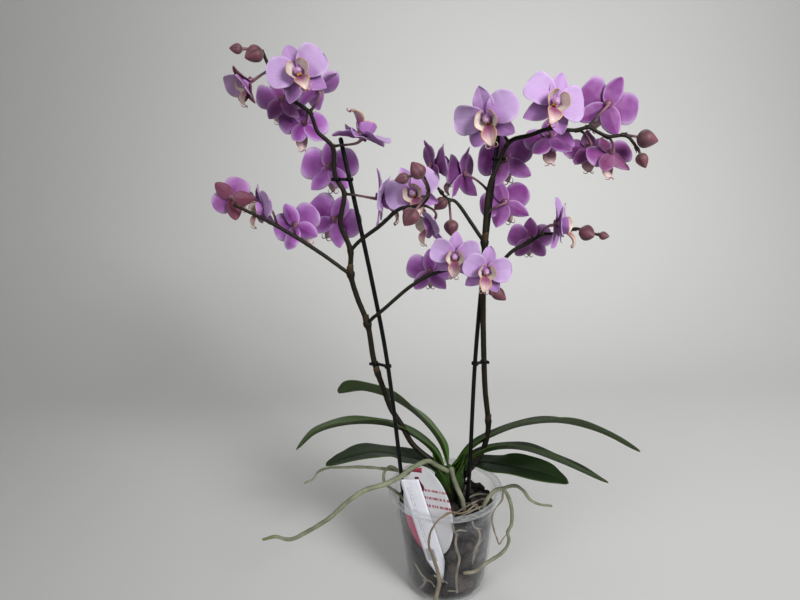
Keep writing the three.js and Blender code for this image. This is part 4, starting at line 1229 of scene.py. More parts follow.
def stalk_line(lines, bloom):
    """A flower stalk, from the nearest point of the spike to the back of its bloom."""
    front = facing(*bloom["faces"])
    start, _ = nearest(lines, np.array(bloom["start"]) * MM)
    end = np.array(bloom["at"]) * MM - front * STALK["back"] * bloom.get("scale", 1) * MM
    before = end - front * STALK["arriving"] * MM
    bow = np.array(bloom.get("bow", STALK["rise"])) * STALK["bow"] * MM
    after = start + (before - start) * STALK["share"] + bow
    lead = end - front * STALK["lead"] * MM
    t = np.linspace(0, 1, 40)[:, None]
    curve = (1 - t) ** 3 * start + 3 * t * (1 - t) ** 2 * after + 3 * t**2 * (1 - t) * lead + t**3 * end
    return evenly(curve, 26)


def bud_axis(lines, bud):
    start, _ = nearest(lines, np.array(bud["start"]) * MM)
    centre = np.array(bud["at"]) * MM
    return start, centre, unit(centre - start)


def bud_stalk(lines, bud):
    start, centre, axis = bud_axis(lines, bud)
    bend = (start + centre) / 2 + np.array([0, 0, 0.0012])
    return bezier(start, bend, centre - axis * bud["length"] * 0.3 * MM, 14)


def scale_leaf(pile, joint, along_stem, out, radius, length, spread, below, inset):
    """A pointed sheath that hugs a strand at a joint. Its sizes are in millimetres."""
    side = unit(np.cross(along_stem, out))
    v, s = np.linspace(0, 1, 9)[:, None], np.linspace(-1, 1, 9)[None]
    turn = s * math.radians(spread) * np.sqrt(np.clip(1 - v**1.7, 0.004, 1))
    reach = (radius + SHEATH["gap"] + SHEATH["flare"] * v**2)[..., None]
    rise = (v * length * np.ones_like(s))[..., None]
    direction = out * np.cos(turn)[..., None] + side * np.sin(turn)[..., None]
    foot = joint - (along_stem * below + out * inset) * MM
    grid = foot + (direction * reach + along_stem * rise) * MM
    shell(pile, grid, np.full(turn.shape, SHEATH["thickness"] * MM))


def stem_finish(name, dark, warm, pink):
    """Stems and stalks: dark when old, pink next to a flower. The tint runs from one to the other."""
    made, tree, shader = material(name)
    cloud = mottled(tree, 120.0, 1500.0)
    stem = mixed(tree, cloud["Patches"], dark, warm)
    tone = mixed(tree, ramp(tree, attribute(tree, "tint"), 0.1, 1.0), stem, pink)
    speck = mixed(tree, ramp(tree, cloud["Grain"], 0.55, 0.8, 0.0, 0.3), tone, srgb(78, 68, 50))
    feed(tree, shader, {"Base Color": speck, "Roughness": grainy(tree, cloud, 0.42, 0.6),
                        "Specular IOR Level": 0.2})
    bump(tree, shader, cloud["Grain"], 0.0004, 0.4)
    return made


def make_stems(side, spike):
    """A spike's strands, sheaths and bracts as one piece, and the lines of its stem and branches."""
    paths = stem_paths(spike["stem"], spike["branches"], spike["collars"])
    lines = [line for line, _, _ in paths]
    pile = Pile()
    for joint in spike["collars"]:
        at, direction = nearest(lines[:1], np.array(joint) * MM)
        scale_leaf(pile, at, direction, square_to(direction, TO_VIEWER), **COLLAR)
    stalks = [stalk_line(lines, bloom) for bloom in spike["blooms"]]
    stalks += [bud_stalk(lines, bud) for bud in spike["buds"]]
    for stalk in stalks:
        at, direction = nearest(lines, stalk[0])
        scale_leaf(pile, at, direction, square_to(direction, stalk[4] - stalk[0]), **BRACT)
        radii = along([1.35, 1.0, 0.95, 1.05, 1.5], len(stalk)) * STALK["radius"] * MM
        paths.append((stalk, radii, [0.05, 0.3, 0.75, 1.0]))
    sheaths = pile.make("sheaths", [SHEATH_FINISH])
    tubes = strands("tubes", paths, STEM_FINISH, Sides=12, Lump=0.0005, **{"Lump Scale": 260.0})
    return finish_piece(joined("spike_stems_" + side, tubes, sheaths), "stem", "spike_" + side), lines


STEM_FINISH = stem_finish("spike_skin", srgb(19, 15, 9), srgb(31, 27, 15), srgb(138, 100, 112))
SHEATH_FINISH = stem_finish("sheath_skin", srgb(46, 36, 26), srgb(72, 58, 40), srgb(72, 58, 40))
SPINES = {}
for side, spike in SPIKES.items():
    stems, SPINES[side] = make_stems(side, spike)
    print(stems.name, len(stems.data.polygons), "faces")

# %% [markdown]
# A bud is a closed flower: its three sepals meet in seams that run from the stalk to the tip. Its rings are
# therefore not quite round, with three shallow grooves, and its tip leans over a little. The bract green of
# young buds has already turned to a dusky red here.

# %% Build the buds
BUD = dict(rings=24, sides=36, seam=0.13, lean=0.16)


def bud_rings(lines, bud):
    _, centre, axis = bud_axis(lines, bud)
    length, width = bud["length"] * MM, bud["width"] * MM
    side = unit(np.cross(axis, [0.2, 0.9, 0.3]))
    other = np.cross(axis, side)
    t = np.linspace(0.012, 0.988, BUD["rings"])[:, None]
    turn = full_turn(BUD["sides"])[None]
    profile = np.sin(math.pi * t**0.78) ** 0.72 * (1 - 0.22 * t**2)
    profile = profile / profile.max()
    seams = 1 - BUD["seam"] * np.abs(np.cos(1.5 * turn)) ** 9 * np.sin(math.pi * t) ** 0.5
    radius = width / 2 * profile * seams
    lean = (BUD["lean"] * length * (t - 0.3) ** 2)[..., None]
    middle = centre + axis * ((t - 0.5) * length)[..., None] + other * lean
    return middle + side * (radius * np.cos(turn))[..., None] + other * (radius * np.sin(turn))[..., None]


def bud_finish():
    made, tree, shader = material("bud_skin")
    veins = veined(tree, 36.0, 0.06)
    cloud = mottled(tree, 110.0, 1200.0)
    across = split(tree, uv_of(tree))["X"]
    tone = mixed(tree, cloud["Patches"], srgb(84, 36, 52), srgb(112, 60, 72))
    brown_foot = mixed(tree, ramp(tree, veins["Along"], 0.05, 0.45, 0.55, 0.0), tone, srgb(92, 70, 52))
    seam = maths(tree, "ABSOLUTE", maths(tree, "COSINE", times(tree, across, 3 * math.pi)))
    seamed = mixed(tree, ramp(tree, seam, 0.9, 1.0, 0.0, 0.7), brown_foot, srgb(56, 22, 36))
    lined = mixed(tree, times(tree, veins["Veins"], 0.3), seamed, srgb(70, 30, 48))
    feed(tree, shader, {"Base Color": lined, "Roughness": grainy(tree, cloud, 0.45, 0.62),
                        "Sheen Weight": 0.2})
    bump(tree, shader, veins["Veins"], 0.0004, 0.3)
    return made


BUD_FINISH = bud_finish()
for side, spike in SPIKES.items():
    pile = Pile()
    for bud in spike["buds"]:
        loft(pile, bud_rings(SPINES[side], bud))
    finish_piece(pile.make("buds_" + side, [BUD_FINISH]), "stem", "spike_" + side)
    print(side, "buds:", len(spike["buds"]))

# %% [markdown]
# ## Blooms
#
# A moth orchid's bloom has three narrow sepals behind two broad petals, and in front a lip: two side lobes
# that stand up like a cup round the column, and a pointed middle lobe that ends in two curled threads.
# Every blade is the same kind of grid, with its own outline. A few seeded random numbers bend each of
# them a little, so that no two blooms are quite alike, and the painted marks tell the material which
# blade it is on: the first is its depth of colour, the second its front, the third a reddish blush.

# %% Build the tepals
PETAL = dict(length=26.5, width=14.2, base=0.66, tip=0.36, lift=4, cup=2.4, layer=1, droop=2.8, ruffle=0.9)
SEPAL = dict(length=25.5, width=8.3, base=0.58, tip=0.66, lift=-3, cup=2, layer=-1, droop=2, ruffle=0.6)
# each tepal: its form, its turn from upright in degrees and its depth of colour
TEPALS = [(SEPAL, 0, 0.35), (SEPAL, 138, 0.8), (SEPAL, -138, 0.8), (PETAL, 72, 0.0), (PETAL, -72, 0.0)]
FOLDING = 65
PETAL_THICKNESS = 0.6
TEPAL_GRID = (26, 16)


def outline(v, base, tip):
    """A blade's half width along it, 1 at its widest."""
    widest = base / (base + tip)
    return (np.clip(v, 1e-4, 1) / widest) ** base * (np.clip(1 - v, 1e-4, 1) / (1 - widest)) ** tip


def rotated(points, angle, axis):
    """Points turned about the axis with that number, by degrees."""
    return points @ np.array(Matrix.Rotation(math.radians(angle), 3, "XYZ"[axis])).T


def tepal_grid(form, turn, opened, chance):
    """The middle surface of a sepal or petal, in millimetres, in the bloom's own frame."""
    rows, columns = TEPAL_GRID
    v = (1 - np.cos(np.linspace(0.02, 1, rows) * math.pi)) / 2
    v = (0.55 * v + 0.45 * np.linspace(0, 1, rows))[:, None]
    s = np.linspace(-1, 1, columns + 1)[None]
    tip = form["tip"] * chance.uniform(0.85, 1.3)
    half = form["width"] * outline(v, form["base"], tip) * chance.uniform(0.9, 1.05)
    half = np.maximum(half, 0.25)
    shoulders = np.sign(s) * np.abs(s) ** 0.92
    reach = form["length"] * (v * np.ones_like(s)) * chance.uniform(0.97, 1.03)
    phase, second = chance.uniform(0, 6), chance.uniform(0, 6)
    ruffle = form["ruffle"] * np.abs(s) ** 2.4 * np.sin(v * 9.5 + phase + s * 1.4) * np.clip(v * 2.5, 0, 1)
    ruffle = ruffle + 0.22 * np.abs(s) * np.sin(v * 21 + second)
    midrib = -0.5 * np.exp(-((s / 0.1) ** 2)) * np.sin(np.clip(v, 0, 1) * math.pi)
    lowest = chance.uniform(-0.35, 0.35)
    cupped = form["cup"] * (s + lowest) ** 2 * np.sin(v * math.pi * 0.9) * chance.uniform(0.5, 1.5)
    falling = -form["droop"] * chance.uniform(-0.2, 1.6) * v**2.2 + 0.8 * np.sin(v * math.pi)
    forward = form["layer"] + cupped + ruffle + midrib + falling
    lift = math.radians(form["lift"] + (1 - opened) * FOLDING + chance.uniform(-7, 7))
    grid = np.stack([half * shoulders, reach * math.cos(lift) - forward * math.sin(lift),
                     forward * math.cos(lift) + reach * math.sin(lift)], -1)
    return rotated(rotated(grid, chance.uniform(-9, 9), 1), -turn, 2)


print("a bloom has", len(TEPALS), "tepals of", TEPAL_GRID[0], "by", TEPAL_GRID[1] + 1, "points a side")

# %% [markdown]
# The lip and the column stand in front of the blades. The side lobes curve up and in to make a bowl, open
# towards the column. The column ends in a pale cap over the pollen, and a small yellow callus sits where
# the lobes meet.

# %% Build the lip and the column
LIP = dict(bowl=6.6, flare=1.9, depth=4.6, half_turn=(-84, 72), size=1.16)
LIP_PATH = [[0, -3.2, 2.6], [0, -5.6, 6.4], [0, -8.4, 10.4], [0, -12, 13], [0, -14.8, 13.2],
            [0, -16.8, 12.2]]
LIP_WIDTHS = [1.8, 2.4, 4.2, 5.6, 5.2, 3.0, 0.6]
COLUMN = dict(back=3.0, front=8.4, radii=[3.4, 2.9, 2.6, 3.0, 3.2, 2.1], rings=16, sides=18)
CAP = (2.1, 1.8, 1.7)
CALLUS = (1.0, 1.1, 1.7)


def lobe_grid(side, chance):
    """A side lobe: half of the bowl round the column, flared towards the front."""
    v, s = np.linspace(0, 1, 21)[:, None], np.linspace(-1, 1, 11)[None]
    low, high = LIP["half_turn"]
    turn = np.radians(low + (high - low + chance.uniform(-8, 8)) * v)
    wide = outline(v * 0.95 + 0.025, 0.38, 0.36)
    radius = LIP["bowl"] + LIP["flare"] * s * wide - 0.7 * s**2 + 0.25 * np.sin(v * 16)
    x = radius * np.cos(turn)
    y = 0.4 + radius * np.sin(turn)
    z = 5.2 + LIP["depth"] * s * wide + 1.6 * np.sin(v * math.pi)
    grid = np.stack([side * x, y, z], -1)
    return grid if side > 0 else grid[:, ::-1]


def middle_lobe_grid():
    """The middle lobe: a trowel that heads forwards, then falls, with its sides turned up."""
    path = smooth_path(LIP_PATH, 26) / MM
    v, s = np.linspace(0, 1, 26), np.linspace(-1, 1, 15)[None]
    half = along(LIP_WIDTHS, len(path))[:, None]
    tangent = unit(np.gradient(path, axis=0))
    up = np.cross(tangent, [1.0, 0, 0])
    raised = 0.34 * half * np.abs(s) ** 2.2 - 0.5 * np.exp(-((s / 0.2) ** 2)) * np.sin(v * math.pi)[:, None]
    return path[:, None] + (half * s)[..., None] * [1, 0, 0] + up[:, None] * raised[..., None]


def column_rings():
    """The column, with a hollow along its underside."""
    t = np.linspace(0, 1, COLUMN["rings"])
    radius = along(COLUMN["radii"], len(t))
    z = -COLUMN["back"] + (COLUMN["back"] + COLUMN["front"]) * t
    turn = full_turn(COLUMN["sides"])
    hollow = 1 - 0.25 * np.clip(-np.sin(turn), 0, 1)[None] ** 3 * np.sin(t * math.pi)[:, None]
    x = radius[:, None] * np.cos(turn) * hollow
    y = radius[:, None] * np.sin(turn) * hollow + (0.5 - 2.0 * t**2)[:, None] + 1.2
    return np.stack([x, y, z[:, None] + 0 * x], -1)


def ball_rings(centre, radii, turns=14, rows=9):
    """An egg at a place, as rings from its back to its front."""
    polar = np.linspace(0.06, math.pi - 0.06, rows)
    turn = full_turn(turns)
    across = np.sin(polar)[:, None]
    x = centre[0] + radii[0] * across * np.cos(turn)
    y = centre[1] + radii[1] * across * np.sin(turn)
    z = centre[2] - radii[2] * np.cos(polar)[:, None] * np.ones(turns)
    return np.stack([x, y, z], -1)


def thread_rings(side):
    """One of the two curled threads at the lip's tip."""
    tip = np.array(LIP_PATH[-1])
    bends = [[0.3, 0.3, -0.3], [1.8, -1.2, 0.2], [3.6, -0.6, 1.6], [4.2, 1.4, 2.4], [3.2, 2.8, 2.2]]
    line = smooth_path([tip + np.array(bend) * [side, 1, 1] for bend in bends], 16) / MM
    return rings_along(line, along([0.45, 0.34, 0.14], 16), 7)


def add_lip(pile, chance):
    """The lip's lobes and threads, the callus, the column and its cap."""
    for side in (-1, 1):
        grid = lobe_grid(side, chance)
        shell(pile, grid * LIP["size"], np.full(grid.shape[:2], 0.5), (0.2, 0, 0), slot=1)
        loft(pile, thread_rings(side) * LIP["size"], (0.6, 1, 0), slot=1)
    grid = middle_lobe_grid() * LIP["size"]
    shell(pile, grid[:, ::-1], np.full(grid.shape[:2], 0.6), (0.6, 0, 0), slot=1)
    for side in (-0.9, 0.9):
        loft(pile, ball_rings((side, -2.6, 5.4), CALLUS), (0.9, 1, 0), slot=1)
    loft(pile, column_rings(), (0.0, 1, 0), slot=1)
    loft(pile, ball_rings((0, -0.2, COLUMN["front"] - 0.2), CAP), (0.05, 1, 0), slot=1)


print("lip: its bowl is", round(2 * LIP["bowl"] * LIP["size"], 1), "mm wide")

# %% [markdown]
# The petals' material mixes four things: the pale front and the deeper back, a paler edge, violet veins
# that fan out from the base, and speckles near the centre of the lower sepals. The lip has cream cups
# with dark stripes and a tan rim. The first mark also tells the lip's parts apart.

# %% Paint the petals and the lip
# Painted light and shade: the backs of the left spike's petals are painted paler, and those of the right
# spike deeper. These are a lit copy and a shaded copy of one petal skin.
PAINTED_LIT_AND_SHADED_BACKS = dict(light=[srgb(122, 44, 128), srgb(156, 96, 169), srgb(180, 149, 191)],
             deep=[srgb(104, 22, 102), srgb(120, 50, 124), srgb(152, 116, 162)])
PAINTED_BACK_LIGHT_OF = dict(left="light", right="deep")


def petal_finish(name, heart, middle, rim):
    """The skin of a petal, with the three colours of its back from the base to the rim."""
    made, tree, shader = material(name)
    veins = veined(tree, 15.0, 0.12)
    cloud = mottled(tree, 70.0, 1300.0)
    marks = marks_of(tree)
    parts = split(tree, uv_of(tree))
    sideways = ramp(tree, distance_from(tree, parts["X"]), 0.08, 0.5, 0.0, 0.75)
    outwards = maths(tree, "ADD", sideways, ramp(tree, parts["Y"], 0.3, 1.0, 0.0, 0.6))
    pale = mixed(tree, marks["Red"], srgb(176, 148, 191), srgb(153, 98, 165))
    deep = mixed(tree, marks["Red"], srgb(168, 107, 180), srgb(135, 62, 145))
    front = mixed(tree, ramp(tree, veins["Along"], 0.05, 0.6, 1.0, 0.0), pale, deep)
    inside = mixed(tree, ramp(tree, outwards, 0.0, 0.7), heart, middle)
    back = mixed(tree, ramp(tree, outwards, 0.55, 1.25), inside, rim)
    sided = mixed(tree, marks["Green"], back, front)
    lined = mixed(tree, times(tree, veins["Veins"], 0.38), sided, srgb(118, 44, 130))
    spots = times(tree, ramp(tree, cloud["Grain"], 0.5, 0.6), ramp(tree, veins["Along"], 0.1, 0.5, 1, 0))
    freckled = mixed(tree, times(tree, spots, times(tree, marks["Red"], 0.7)), lined, srgb(90, 34, 98))
    cloudy = mixed(tree, times(tree, cloud["Patches"], 0.18), freckled, srgb(176, 140, 196))
    edged = mixed(tree, times(tree, veins["Edge"], 0.36), cloudy, srgb(200, 182, 208))
    blush = times(tree, marks["Blue"], ramp(tree, marks["Red"], 0.0, 0.4, 0.25, 0.95))
    feed(tree, shader, {"Base Color": mixed(tree, blush, edged, srgb(100, 44, 60)),
                        "Roughness": grainy(tree, cloud, 0.5, 0.68),
                        "Specular IOR Level": 0.35, "Sheen Weight": 0.08, "Sheen Roughness": 0.5})
    bump(tree, shader, veins["Veins"], 0.0002, -0.35)
    return made


def lip_finish():
    made, tree, shader = material("lip_skin")
    veins = veined(tree, 9.0, 0.05)
    cloud = mottled(tree, 200.0, 1800.0)
    marks = marks_of(tree)
    column = mixed(tree, cloud["Patches"], srgb(188, 154, 186), srgb(160, 112, 164))
    column = mixed(tree, ramp(tree, veins["Along"], 0.3, 0.5, 1.0, 0.0), column, srgb(112, 62, 88))
    cup = mixed(tree, times(tree, veins["Veins"], 0.8), srgb(222, 210, 200), srgb(98, 42, 84))
    outside = mixed(tree, marks["Green"], srgb(166, 116, 178), cup)
    rim = mixed(tree, ramp(tree, veins["Edge"], 0.6, 1.0, 0.0, 0.9), outside, srgb(190, 152, 98))
    lobe = mixed(tree, ramp(tree, veins["Along"], 0.3, 0.95), srgb(136, 72, 108), srgb(214, 190, 182))
    lobe_lined = mixed(tree, times(tree, veins["Veins"], 0.55), lobe, srgb(112, 50, 98))
    lobe_rim = mixed(tree, ramp(tree, veins["Edge"], 0.35, 0.9, 0.0, 0.9), lobe_lined, srgb(184, 146, 92))
    cupped = mixed(tree, ramp(tree, marks["Red"], 0.09, 0.12), column, rim)
    lobed = mixed(tree, ramp(tree, marks["Red"], 0.4, 0.45), cupped, lobe_rim)
    tone = mixed(tree, ramp(tree, marks["Red"], 0.75, 0.8), lobed, srgb(204, 150, 52))
    feed(tree, shader, {"Base Color": tone, "Roughness": grainy(tree, cloud, 0.4, 0.58),
                        "Coat Weight": 0.15})
    bump(tree, shader, veins["Veins"], 0.0003, -0.4)
    return made


PETAL_FINISHES = {tone: petal_finish("petal_skin_painted_back_" + tone, *colours) for tone, colours in PAINTED_LIT_AND_SHADED_BACKS.items()}
LIP_FINISH = lip_finish()
print("petal skins:", ", ".join(PETAL_FINISHES), "and one for the lip")


# %% Shape the blooms and put them at the ends of their stalks
def placement(at, faces, roll=0, scale=1, **_):
    """The matrix that takes a bloom's own millimetres to its place."""
    front = Vector(facing(*faces))
    up = (Vector((0, 0, 1)) - front * front.z).normalized()
    right = up.cross(front)
    turn = Matrix((right, up, front)).transposed().to_4x4()
    size = Matrix.Scale(scale * MM, 4)
    return Matrix.Translation(Vector(at) * MM) @ turn @ Matrix.Rotation(math.radians(-roll), 4, "Z") @ size


def make_bloom(name, bloom, skin):
    """One bloom. Its name seeds its chances, so it comes out the same each time."""
    chance = random.Random(name)
    pile = Pile()
    for form, turn, depth in TEPALS:
        grid = tepal_grid(form, turn, bloom.get("open", 1), chance)
        thin = np.full(grid.shape[:2], PETAL_THICKNESS)
        thin[:, [0, -1]] *= 0.35
        thin[:, [1, -2]] *= 0.75
        thin[-1] *= 0.35
        shell(pile, grid, thin, (depth, 0, bloom.get("blush", 0)))
    add_lip(pile, chance)
    pile.moved(placement(**bloom))
    node = "bloom_" + name
    return finish_piece(pile.make(node + "_open", [skin, LIP_FINISH]), "petal", node)


for side, spike in SPIKES.items():
    for number, bloom in enumerate(spike["blooms"], 1):
        made = make_bloom(f"{side}_{number:02d}", bloom, PETAL_FINISHES[PAINTED_BACK_LIGHT_OF[side]])
    print(side, "blooms:", len(spike["blooms"]), "each", len(made.data.polygons), "faces")

# %% [markdown]
# ## Stakes and clips
#
# Two slim stakes hold the heavy spikes up. They are extruded black plastic, so they are strands with no
# lumps and a satin finish with fine scratches. Each clip is moulded in one piece: two open rings, one
# for the stake and one for the stem, with a short bridge between them and two small thumb tabs.

# %% Build the stakes
STAKES = dict(
    left=[[-41, -18, 50], [-46, -13, 131], [-57, -8, 258], [-69, -6, 339], [-92, -4, 469]],
    right=[[16, -14, 50], [23, -10, 113], [31, -2, 257], [41, 3, 368], [52, 6, 467]],
)
STAKE_RADIUS = 2.1


def black_plastic(name, roughness):
    made, tree, shader = material(name)
    wear = place_group(tree, WEAR, {"Vector": object_place(tree), "Scale": 160.0})
    tone = mixed(tree, wear["Haze"], srgb(4, 4, 5), srgb(9, 9, 11))
    feed(tree, shader, {
        "Base Color": mixed(tree, times(tree, wear["Scratches"], 0.3), tone, srgb(60, 60, 64)),
        "Roughness": ramp(tree, wear["Haze"], 0.0, 1.0, roughness - 0.08, roughness + 0.1),
        "Specular IOR Level": 0.2})
    return made


STAKE_FINISH = black_plastic("stake_plastic", 0.38)
for side, route in STAKES.items():
    line = smooth_path(route, 90)
    radii = np.full(len(line), STAKE_RADIUS * MM)
    made = strands("stake_rod_" + side, [(line, radii, [0.0])], STAKE_FINISH, Sides=18, Lump=0.0)
    finish_piece(made, "black_plastic", "stake_" + side)
    print(made.name, len(made.data.polygons), "faces")

# %% Build the clips
CLIPS = dict(left_low=("left", 252), left_high=("left", 434),
             right_low=("right", 250), right_high=("right", 448))
CLIP = dict(height=3.5, wall=1.3, stem=2.5, opening=62, bridge=2.0, tab=2.52, tab_width=1.0, tilt=50)


def at_height(line, height):
    return line[int(np.abs(line[:, 2] - height * MM).argmin())]


def rounded_box(width, height, corner, steps=3):
    """The outline of a bar, with rounded corners, as offsets across and up."""
    outline = []
    for quarter, (x, y) in enumerate(((1, 1), (-1, 1), (-1, -1), (1, -1))):
        for step in range(steps + 1):
            turn = math.radians(90 * quarter + 90 * step / steps)
            outline.append((x * (width / 2 - corner) + corner * math.cos(turn),
                            y * (height / 2 - corner) + corner * math.sin(turn)))
    return np.array(outline)


def clip_ring(pile, centre, inner, gap_turn):
    """A ring with a gap, opening towards gap_turn."""
    section = rounded_box(CLIP["wall"], CLIP["height"], 0.45)
    half_gap = CLIP["opening"] / 2
    turns = np.radians(np.linspace(gap_turn + half_gap, gap_turn + 360 - half_gap, 34))
    reach = inner + CLIP["wall"] / 2 + section[None, :, 0]
    ring = np.stack([reach * np.cos(turns)[:, None], reach * np.sin(turns)[:, None],
                     np.repeat(section[None, :, 1], len(turns), 0)], -1)
    loft(pile, centre + ring[:, ::-1] * MM)


def clip_bar(pile, start, end, width, height):
    """A rounded bar between two points that lie level."""
    section = rounded_box(width, height, 0.5)
    along_bar = unit(end - start)
    across = unit(np.cross([0.0, 0.0, 1.0], along_bar))
    rings = [start + (end - start) * t + (section[:, :1] * across + section[:, 1:] * [[0, 0, 1]]) * MM
             for t in np.linspace(0, 1, 6)]
    loft(pile, np.array(rings))


def make_clip(name, side, height):
    """The clip at a height on one of the stakes."""
    on_stake = at_height(smooth_path(STAKES[side], 400), height)
    on_stem = at_height(smooth_path(SPIKES[side]["stem"]["route"], 1500), height)
    towards = unit((on_stem - on_stake) * [1, 1, 0])
    turn = math.degrees(math.atan2(towards[1], towards[0]))
    pile = Pile()
    clip_ring(pile, on_stake, STAKE_RADIUS + 0.08, turn + 180)
    clip_ring(pile, on_stem, CLIP["stem"], turn)
    start = on_stake + towards * (STAKE_RADIUS + 0.4) * MM
    end = on_stem - towards * (CLIP["stem"] + 0.3) * MM
    clip_bar(pile, start, end, CLIP["bridge"], CLIP["height"] - 0.6)
    for tilt in (-CLIP["tilt"], CLIP["tilt"]):
        angle = math.radians(turn + tilt)
        way = np.array([math.cos(angle), math.sin(angle), 0])
        start = on_stem + way * (CLIP["stem"] + 0.6) * MM
        clip_bar(pile, start, start + way * CLIP["tab"] * MM, CLIP["tab_width"], CLIP["height"] - 0.4)
    finish_piece(pile.make("stem_clip_" + name, [CLIP_FINISH]), "black_plastic", "clip_" + name)


CLIP_FINISH = black_plastic("clip_plastic", 0.3)
for name, (side, height) in CLIPS.items():
    make_clip(name, side, height)
print("clips:", len(CLIPS))

# %% [markdown]
# ## Roots
#
# Air roots of this plant are covered in velamen, a spongy silver skin that turns green when it is wet, and
# some end in a fresh green tip. They grow round what they touch and pinch in where they dried, so the
# strand tree gets larger lumps here. Roots that grew down along the wall are pressed flat against it
# and show through the plastic.

# %% Build the air roots
ROOTS = dict(
    root_left_long=[dict(
        route=[[2, -4, 132], [-10, -9, 142], [-19, -16, 151], [-32, -24, 150], [-45, -32, 145],
               [-62, -42, 142], [-81, -50, 141], [-99, -56, 132], [-116, -58, 117], [-136, -58, 104],
               [-156, -56, 93], [-171, -54, 95], [-183, -52, 91]],
        radii=[2.4, 2.4, 2.6, 2.4, 2.3, 2.1, 1.9, 1.4], tints=[0.5, 0.5, 0.5, 0.6, 0.9],
    )],
    root_left_thin=[
        dict(
            route=[[-12, 4, 118], [-37, 8, 124], [-56, 12, 126], [-84, 10, 131], [-105, 4, 135],
                   [-123, 0, 137], [-133, -2, 134], [-139, -4, 127], [-147, -6, 124]],
            radii=[1.8, 1.7, 1.6, 1.4, 1], tints=[0.5, 0.4, 0.6],
        ),
        dict(
            route=[[-48, 11, 125], [-58, 6, 133], [-64, -2, 131], [-64, -10, 124], [-57, -15, 120],
                   [-48, -18, 114], [-40, -20, 103], [-36, -21, 90]],
            radii=[1.5, 1.5], tints=[0.5, 0.4],
        ),
    ],
    root_right=[
        dict(
            route=[[36, -20, 84], [38, -20, 100], [44, -20, 112], [51, -18, 117], [58, -17, 118],
                   [67, -10, 116], [75, -6, 113], [83, -4, 105], [89, -4, 96], [99, -6, 91], [111, -8, 90]],
            radii=[2, 2, 1.9, 1.7, 1.2], tints=[0.5, 0.4, 0.55],
        ),
        dict(
            route=[[58, -17, 118], [63, -18, 110], [66, -20, 100], [67, -22, 90], [66, -24, 80],
                   [62, -26, 72], [63, -29, 65], [60, -32, 59], [54, -37, 56], [43, -44, 54],
                   [34, -50, 53], [25, -54, 49], [14, -57, 50]],
            radii=[1.9, 1.9, 1.8, 1.8, 2, 1.6], tints=[0.5, 0.45, 0.3],
        ),
    ],
    root_front=[dict(
        route=[[30, -18, 84], [31, -22, 102], [28, -28, 107], [19, -38, 107], [10, -48, 111],
               [2, -56, 118], [-6, -64, 120], [-13, -68, 117], [-18, -67, 108], [-20, -63, 99],
               [-21, -59, 83], [-18, -56, 72], [-15, -54, 60], [-12, -53, 47], [-11, -52, 34],
               [-13, -51, 23], [-16, -50, 9]],
        radii=[1.4, 1.4, 1.6, 1.8, 2.2, 2.6, 2.7, 2.5], tints=[0.14, 0.08, 0.05, 0.12, 0.2],
        slim=[0.7, 0.6, 0.5, 0.5, 0.58, 0.72, 0.86],
    )],
    root_prop=[dict(
        route=[[6, -4, 134], [8, -11, 126], [12, -15, 116], [16, -19, 106], [18, -21, 86]],
        radii=[2.4, 2.4, 2.2], tints=[0.42, 0.34], slim=[1.1, 1.15],
    )],
)
SURFACE_ROOTS = [[[2, -36, 95], [6, -31, 98], [20, -20, 100], [35, -9, 100], [45, -1, 97]],
                 [[9, -34, 96], [23, -27, 98.5], [37, -18, 99], [46, -6, 97]],
                 [[20, -4, 96], [28, 0, 99], [36, 3, 99.5], [46, 5, 97]],
                 [[6, -19, 95], [12, -14, 98], [19, -11, 98], [28, -20, 101], [36, -26, 97]],
                 [[-4, -44, 96], [6, -43, 98], [15, -40, 97], [24, -33, 99], [30, -34, 97]]]
SURFACE_ROOT = dict(radii=[1.2, 1.0, 1.1, 0.7], tints=[0.25], count=50)
WITHERED_ROOT = dict(
    route=[[58, -16, 117], [56, -26, 111], [47, -36, 107], [43, -42, 101], [45, -42, 88], [49, -38, 74],
           [52, -36, 66], [56, -32, 69], [61, -29, 73]],
    radii=[0.9, 0.8, 0.7, 0.5], tints=[0.13], count=60,
)


def root_finish():
    made, tree, shader = material("root_skin")
    cloud = mottled(tree, 85.0, 1100.0)
    tint = attribute(tree, "tint")
    silver = mixed(tree, cloud["Patches"], srgb(101, 110, 84), srgb(138, 143, 117))
    fresh = mixed(tree, ramp(tree, tint, 0.75, 1.0), silver, srgb(116, 142, 60))
    earthy = mixed(tree, cloud["Patches"], srgb(108, 99, 92), srgb(146, 140, 124))
    pale = mixed(tree, ramp(tree, tint, 0.25, 0.5, 1.0, 0.0), fresh, earthy)
    dry = mixed(tree, ramp(tree, tint, 0.0, 0.22, 1.0, 0.0), pale, srgb(122, 104, 78))
    fine = mixed(tree, ramp(tree, cloud["Grain"], 0.48, 0.75, 0.0, 0.55), dry, srgb(96, 90, 62))
    rough = ramp(tree, cloud["Patches"], 0.0, 1.0, 0.62, 0.82)
    feed(tree, shader, {"Base Color": fine, "Roughness": rough})
    bump(tree, shader, cloud["Grain"], 0.0007, 0.6)
    return made


def root_path(route, radii, tints, slim=(1, 1), count=110):
    """A root's points, its radii in metres and its tints: 0 is dry, a half silver and 1 fresh green."""
    return smooth_path(route, count), along(radii, count) * along(slim, count) * MM, tints


ROOT_FINISH = root_finish()
for node, rows in ROOTS.items():
    paths = [root_path(**row) for row in rows]
    if node == "root_right":
        paths.append(root_path(**WITHERED_ROOT))
        paths.extend(root_path(route, **SURFACE_ROOT) for route in SURFACE_ROOTS)
    made = strands(node + "_strands", paths, ROOT_FINISH, Sides=16, Lump=0.0016, **{"Lump Scale": 105.0})
    finish_piece(made, "root", node)
print("air roots:", len(ROOTS))

